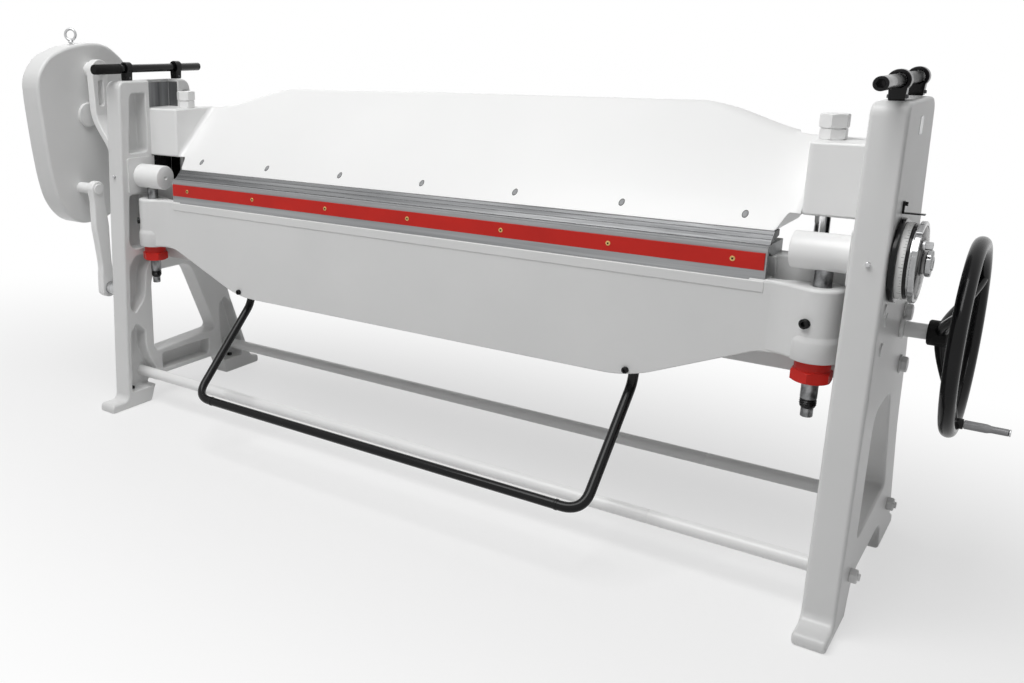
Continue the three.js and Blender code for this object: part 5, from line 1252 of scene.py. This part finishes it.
# ---- counterweight and its linkage ----
weight = {
    "outline": [
        (-0.524, -0.032), (-0.405, 0.075), (-0.195, 0.128), (0.050, 0.148), (0.206, 0.132), (0.381, 0.044),
        (0.476, -0.066), (0.459, -0.242), (0.368, -0.565), (0.273, -0.742), (0.152, -0.830), (-0.011, -0.850),
        (-0.141, -0.852), (-0.242, -0.827), (-0.327, -0.774), (-0.398, -0.695), (-0.442, -0.580),
        (-0.478, -0.414), (-0.519, -0.147),
    ],
    "width": 462, "height": 681, "round": 40, "edge": 12, "recess": 0.84, "recessMiddle": -0.36,
    "recessDepth": 62, "ring": 45, "ringProud": 12, "ringDrop": 166,
}
weightLow, weightHigh = ends("counterweight")
pivot = centreOf("weight_pin", "x")
guideTop = centreOf("guide_top_pin", "x")
guideFoot = centreOf("guide_pivot_pin", "x")


def weightOutline(grow):
    middle = weight["recessMiddle"]
    return rounded([(pivot[0] + y * weight["width"] * grow,
                     pivot[1] + (middle + (z - middle) * grow) * weight["height"], weight["round"])
                    for y, z in weight["outline"]], 6)


near = weightHigh[0] - weight["ringProud"]
far = weightLow[0]
outer, inner = weightOutline(1.0), weightOutline(weight["recess"])
edgeSteps = quarter(weight["edge"], 6)
recessEnd = far + weight["recessDepth"]
layers = [(near - deep, drawnIn(outer, aside)) for deep, aside in edgeSteps]
layers += [(far + deep, drawnIn(outer, aside)) for deep, aside in edgeSteps[::-1]]
layers += [(far, drawnIn(inner, -6)), (far + 2, drawnIn(inner, -2)), (far + 6, inner), (recessEnd - 8, inner),
           (recessEnd - 2, drawnIn(inner, 3)), (recessEnd, drawnIn(inner, 9))]
ringCentre = (pivot[0] - weight["ring"] / 2, pivot[1] - weight["ringDrop"])
boss = spun("x", ringCentre, barRows(weight["ring"], near - 5, near + weight["ringProud"], 4))
piece("counterweight_casting", together(layered("x", layers), boss), "enamelGrey", "weight",
      ["counterweight"], weigh=True)

lever = {"hub": 45, "head": 38, "foot": 30, "slot": 13, "kneeDrop": 160, "slotTop": 36, "slotBottom": 134,
         "edge": 4, "width": 35, "armHalf": 16.5, "armWide": 42, "armNarrower": 12, "armStart": 20}
leverLow, leverHigh = ends("counterweight_lever")
lowerIn, lowerOut = leverHigh[0], leverHigh[0] - lever["width"]
upperIn, upperOut = leverLow[0] + lever["width"], leverLow[0]
knee = pivot[1] - lever["kneeDrop"]
# Lower arm: it leans over from the hub's plane to the upper arm's along half a cosine wave, and narrows
rowsOf = []
upperMiddle, lowerMiddle = (upperOut + upperIn) / 2, (lowerOut + lowerIn) / 2
for share in np.linspace(0, 1, 24):
    height = foldHeight - lever["armStart"] + (knee + 6 - foldHeight + lever["armStart"]) * share
    lean = 0.5 - 0.5 * math.cos(math.pi * np.clip((share - 0.3) / 0.7, 0, 1))
    middle = lowerMiddle + (upperMiddle - lowerMiddle) * lean
    half = lever["armWide"] - lever["armNarrower"] * share
    behind = pivot[0] * share
    armSpan = (middle - lever["armHalf"], middle + lever["armHalf"])
    rowsOf.append((height, rectangle(armSpan, (behind - half, behind + half), 7)))
lowerArm = layered("z", rowsOf)
slotLow, slotHigh = pivot[1] - lever["slotBottom"], pivot[1] - lever["slotTop"]
upperArm = linkOutline((pivot[0], slotLow - 14), lever["foot"], tuple(pivot), lever["head"])
slot = rectangle((pivot[0] - lever["slot"], pivot[0] + lever["slot"]), (slotLow, slotHigh), lever["slot"])
upper = carved(plate("x", upperArm, upperOut, upperIn), lever["edge"],
               [windowCutter("x", slot, upperOut, upperIn, 1.5)])
hubRing = spun("x", axisCentre, barRows(lever["hub"], lowerOut, lowerIn, 3), 64)
piece("counterweight_lever_arm", together(upper, lowerArm, hubRing),
      "enamelWhite", "swing", ["counterweight_lever"], weigh=True)
rows = [(lowerOut + 1, 31), (lowerOut - 3, 31), (lowerOut - 5, 29), (lowerOut - 5, 12), (lowerOut - 4, 11)]
piece("lever_hub_washer", spun("x", axisCentre, rows), "turnedSteel", "swing")

# Link: round at both ends, with half widths between them that are read off at shares of its length
link = {"foot": 38, "top": 30, "footTurn": 1.9, "topTurn": 1.5, "sides": (0.14, 0.9),
        "shares": (0.06, 0.22, 0.5, 0.62, 0.95), "halves": (36, 23, 29, 33, 24)}
linkLow, linkHigh = ends("guide_link")
run = guideTop - guideFoot
sideways = np.array([-run[1], run[0]]) / np.linalg.norm(run)
heading = math.atan2(run[1], run[0])
footArc = np.linspace(heading + link["footTurn"], heading + fullTurn - link["footTurn"], 24)
topArc = np.linspace(heading - link["topTurn"], heading + link["topTurn"], 20)
share = np.linspace(*link["sides"], 14)
halfWidth = np.interp(share, link["shares"], link["halves"])
leftSide = guideFoot + share[:, None] * run + halfWidth[:, None] * sideways
rightSide = guideFoot + share[:, None] * run - halfWidth[:, None] * sideways
outline = np.concatenate([
    guideFoot + link["foot"] * np.stack([np.cos(footArc), np.sin(footArc)], axis=1),
    rightSide,
    guideTop + link["top"] * np.stack([np.cos(topArc), np.sin(topArc)], axis=1),
    leftSide[::-1],
])
piece("guide_link_arm", plate("x", outline, linkLow[0], linkHigh[0]), "enamelWhite", "guide", ["guide_link"],
      edge=5)

low, high = spanOf("guide_pivot_pin", "x")
rows = [(high - 1, 12.5), (-frameOuter, 12.5), (-frameOuter - seatGap, 24), (linkHigh[0] + 1.5, 24),
        (linkHigh[0] + 0.5, 22.5), (linkLow[0] - 0.5, 14), (linkLow[0] - 0.5, 20), (low + 1.2, 20), (low, 18),
        (low, 7), (low + 2.5, 5)]
piece("guide_pivot_pin_turned", spun("x", guideFoot, rows), "turnedSteel", "base", ["guide_pivot_pin"])
low, high = spanOf("weight_pin", "x")
rows = [(high, 18.5), (high - 1.2, 20), (high - 4, 20), (high - 4, 12), (upperOut - 0.5, 12),
        (upperOut - 0.5, 30), (near + 1.5, 30), (near - 2, 28.5)]
piece("weight_pin_turned", spun("x", pivot, rows), "enamelWhite", "weight", ["weight_pin"])
low, high = spanOf("guide_top_pin", "x")
rows = [(high, 18.5), (high - 1.2, 20), (high - 4, 20), (high - 4, 12), (linkLow[0] - 0.5, 12),
        (linkLow[0] - 0.5, 20), (near - 2, 20)]
piece("guide_top_pin_turned", spun("x", guideTop, rows), "enamelWhite", "weight", ["guide_top_pin"])

eye = {"radius": 20, "wire": 5, "turnDegrees": 30, "collar": 11}
eyeLow, eyeHigh = ends("lifting_eye")
eyeMiddle = (eyeLow + eyeHigh) / 2
eyeMiddle[2] = eyeHigh[2] - eye["radius"] - eye["wire"]
angle = np.arange(48) * fullTurn / 48
spread = eye["radius"] * np.cos(angle)
path = np.stack([eyeMiddle[0] + spread * math.cos(math.radians(eye["turnDegrees"])),
                 eyeMiddle[1] + spread * math.sin(math.radians(eye["turnDegrees"])),
                 eyeMiddle[2] + eye["radius"] * np.sin(angle)], axis=1)
upright = (-math.sin(math.radians(eye["turnDegrees"])), math.cos(math.radians(eye["turnDegrees"])), 0.0)
seat = eyeMiddle[2] - eye["radius"] - 9
rows = [(seat - 8, 6), (seat - 0.5, 6), (seat - 0.5, eye["collar"]), (seat + 2, eye["collar"]), (seat + 4, 8),
        (seat + 9, 6)]
shape = together(carried(path, eye["wire"], upright, 16, ringed=True), spun("z", eyeMiddle[:2], rows, 32))
piece("lifting_eye_ring", shape, "turnedSteel", "weight", ["lifting_eye"])
print("dial and counterweight made")

# ---- loose lever bars and their clamps ----
bars = {"radius": 15, "socket": 16, "socketDepth": 30, "grip": 18, "ring": 24, "ringFrom": -42, "ringTo": 222,
        "baseHalf": 16, "screw": 4.5, "screwSocket": 4, "screwTop": 13, "screwFloor": 9, "screwFoot": 5}
for side, name in bothSides:
    node = f"lever_bar_{name}"
    centre = centreOf(node, "y")
    low, high = spanOf(node, "y")
    hole = hexRing(bars["socket"])
    rows = [(low + bars["socketDepth"], hole), (low + 1, hole), (low, hole + 1), (low, bars["radius"] - 2),
            (low + 2, bars["radius"]), (high - 2, bars["radius"]), (high - 0.6, bars["radius"] - 0.6),
            (high, bars["radius"] - 2)]
    piece(f"{node}_pipe", spun("y", centre, rows), "blackEnamel", f"bar_{name}", [node])
    for order in ("front", "rear"):
        clamp = f"bar_clamp_{name}_{order}"
        ringFront, ringBack = spanOf(clamp, "y")
        turn = np.radians(np.linspace(bars["ringFrom"], bars["ringTo"], 40))
        arc = np.stack([centre[0] + bars["ring"] * np.sin(turn),
                        centre[1] + bars["ring"] * np.cos(turn)], axis=1)
        base = ends(clamp)[0][2]
        foot = [(base, centre[1] - bars["baseHalf"]), (base, centre[1] + bars["baseHalf"])]
        shape = bored("y", np.concatenate([arc, foot]), ringFront, ringBack, centre, bars["radius"] + seatGap)
        piece(f"{clamp}_ring", shape, "blackEnamel", "base", [clamp], edge=2)
        rows = socketRows(bars["screw"], bars["screwSocket"], base + bars["screwTop"],
                          base + bars["screwFloor"], base + bars["screwFoot"], 24)
        for way in (-1, 1):
            spot = (centre[1] + way * (bars["baseHalf"] + 0.5), (ringFront + ringBack) / 2)
            place = "inner" if way * side < 0 else "outer"
            piece(f"{clamp}_screw_{place}", spun("z", spot, rows, 24), "darkSteel", "base")
low, high = spanOf("lever_bar_grip", "y")
gripCentre = centreOf("lever_bar_grip", "y")
grip = bars["grip"]
rows = [(low, 10), (low, grip - 3), (low + 1, grip - 1), (low + 4, grip), (high - 12, grip),
        (high - 10, grip - 1.2), (high - 8, grip), (high - 2, grip), (high, grip - 2),
        (high, bars["radius"] + 0.2)]
piece("lever_bar_grip_sleeve", spun("y", gripCentre, rows), "gripRubber", "bar_left", ["lever_bar_grip"])
print("lever bars made")

# ---- bare plate on the right frame ----
barePlate = {"behind": (75, 115), "height": (1170, 1210), "corner": 4, "thickness": 1.2}
outline = rectangle(barePlate["behind"], barePlate["height"], barePlate["corner"])
piece("bare_plate", plate("x", outline, frameOuter - 0.5, frameOuter + barePlate["thickness"]), "turnedSteel",
      "base", edge=0.4)

# ---- camera, light and floor ----
view = {"place": (1.6096, -2.6669, 1.3739), "yaw": 38.9, "pitch": 14.4, "roll": -0.4, "lens": 34.63,
        "shiftX": 0.1969, "shiftY": -0.0437}
yaw, pitch, roll = (math.radians(view[key]) for key in ("yaw", "pitch", "roll"))
forward = Vector((-math.sin(yaw) * math.cos(pitch), math.cos(yaw) * math.cos(pitch), -math.sin(pitch)))
right = Vector((math.cos(yaw), math.sin(yaw), 0))
over = right.cross(forward)
tiltedRight = math.cos(roll) * right + math.sin(roll) * over
tiltedOver = -math.sin(roll) * right + math.cos(roll) * over
cameraData = bpy.data.cameras.new("camera")
cameraData.lens = view["lens"]
cameraData.sensor_width = 36
cameraData.shift_x = view["shiftX"]
cameraData.shift_y = view["shiftY"]
camera = inScene("camera", cameraData)
turnRows = Matrix((tiltedRight, tiltedOver, -forward)).transposed()
camera.matrix_world = Matrix.Translation(view["place"]) @ turnRows.to_4x4()
bpy.context.scene.camera = camera
bpy.context.scene.view_settings.view_transform = "Standard"

lamps = {
    "overhead": {"place": (-0.4, -2.2, 5.0), "aim": (0, 0, 0.6), "size": 3.4, "power": 206},
    "leftRear": {"place": (-4.0, 3.2, 3.4), "aim": (0, 0, 0.8), "size": 3.0, "power": 16},
}
for name, lamp in lamps.items():
    data = bpy.data.lights.new(name, "AREA")
    data.shape = "SQUARE"
    data.size = lamp["size"]
    data.energy = lamp["power"]
    light = inScene(name, data)
    light.location = lamp["place"]
    light.rotation_euler = (Vector(lamp["aim"]) - Vector(lamp["place"])).to_track_quat("-Z", "Y").to_euler()


# A ray that the camera, a mirror or glass sends sees this as plain white
def seenDirectly(nodes, links):
    rays = newNode(nodes, links, "LightPath", {}).outputs
    first = newNode(nodes, links, "Math", {0: rays["Is Camera Ray"], 1: rays["Is Glossy Ray"]}, "MAXIMUM")
    second = newNode(nodes, links, "Math", {0: first.outputs[0], 1: rays["Is Transmission Ray"]}, "MAXIMUM")
    return second.outputs[0]


world = bpy.data.worlds.new("studio")
bpy.context.scene.world = world
world.use_nodes = True
nodes, links = world.node_tree.nodes, world.node_tree.links
background = nodes["Background"]
background.inputs["Color"].default_value = (1, 1, 1, 1)
studio = {"lighting": 0.12, "seen": 1.0}
strengths = {"Factor": seenDirectly(nodes, links), "A": studio["lighting"], "B": studio["seen"]}
strength = newNode(nodes, links, "Mix", strengths)
links.new(strength.outputs["Result"], background.inputs["Strength"])

# Floor: pale, and white away from the machine, so that only the shadow near it shows
ground = {"half": 40.0, "fadeStart": 0.5, "fadeEnd": 2.0, "squash": (0.5, 1.0, 1.0), "tone": 0.80,
          "roughness": 0.7, "lift": 0.58}
floorMesh = bpy.data.meshes.new("floor")
reach = ground["half"]
floorMesh.from_pydata([(-reach, -reach, 0), (reach, -reach, 0), (reach, reach, 0), (-reach, reach, 0)], [],
                      [(0, 1, 2, 3)])
floor = inScene("floor", floorMesh)
material = bpy.data.materials.new("paleFloor")
material.use_nodes = True
floorMesh.materials.append(material)
nodes, links = material.node_tree.nodes, material.node_tree.links
shader = nodes["Principled BSDF"]
shader.inputs["Base Color"].default_value = (ground["tone"], ground["tone"], ground["tone"], 1)
shader.inputs["Roughness"].default_value = ground["roughness"]
place = newNode(nodes, links, "TexCoord", {}).outputs["Object"]
squash = newNode(nodes, links, "VectorMath", {0: place, 1: ground["squash"]}, "MULTIPLY")
distance = newNode(nodes, links, "VectorMath", {0: squash.outputs[0]}, "LENGTH")
limits = {"From Min": ground["fadeStart"], "From Max": ground["fadeEnd"], "To Min": ground["lift"]}
fade = newNode(nodes, links, "MapRange", {"Value": distance.outputs["Value"], **limits})
fade.interpolation_type = "SMOOTHSTEP"
both = newNode(nodes, links, "Math", {0: fade.outputs["Result"], 1: seenDirectly(nodes, links)}, "MULTIPLY")
glow = newNode(nodes, links, "Emission", {})
mix = newNode(nodes, links, "MixShader", {0: both.outputs[0], 1: shader.outputs[0], 2: glow.outputs[0]})
links.new(mix.outputs[0], nodes["Material Output"].inputs["Surface"])
print("camera, light and floor made")
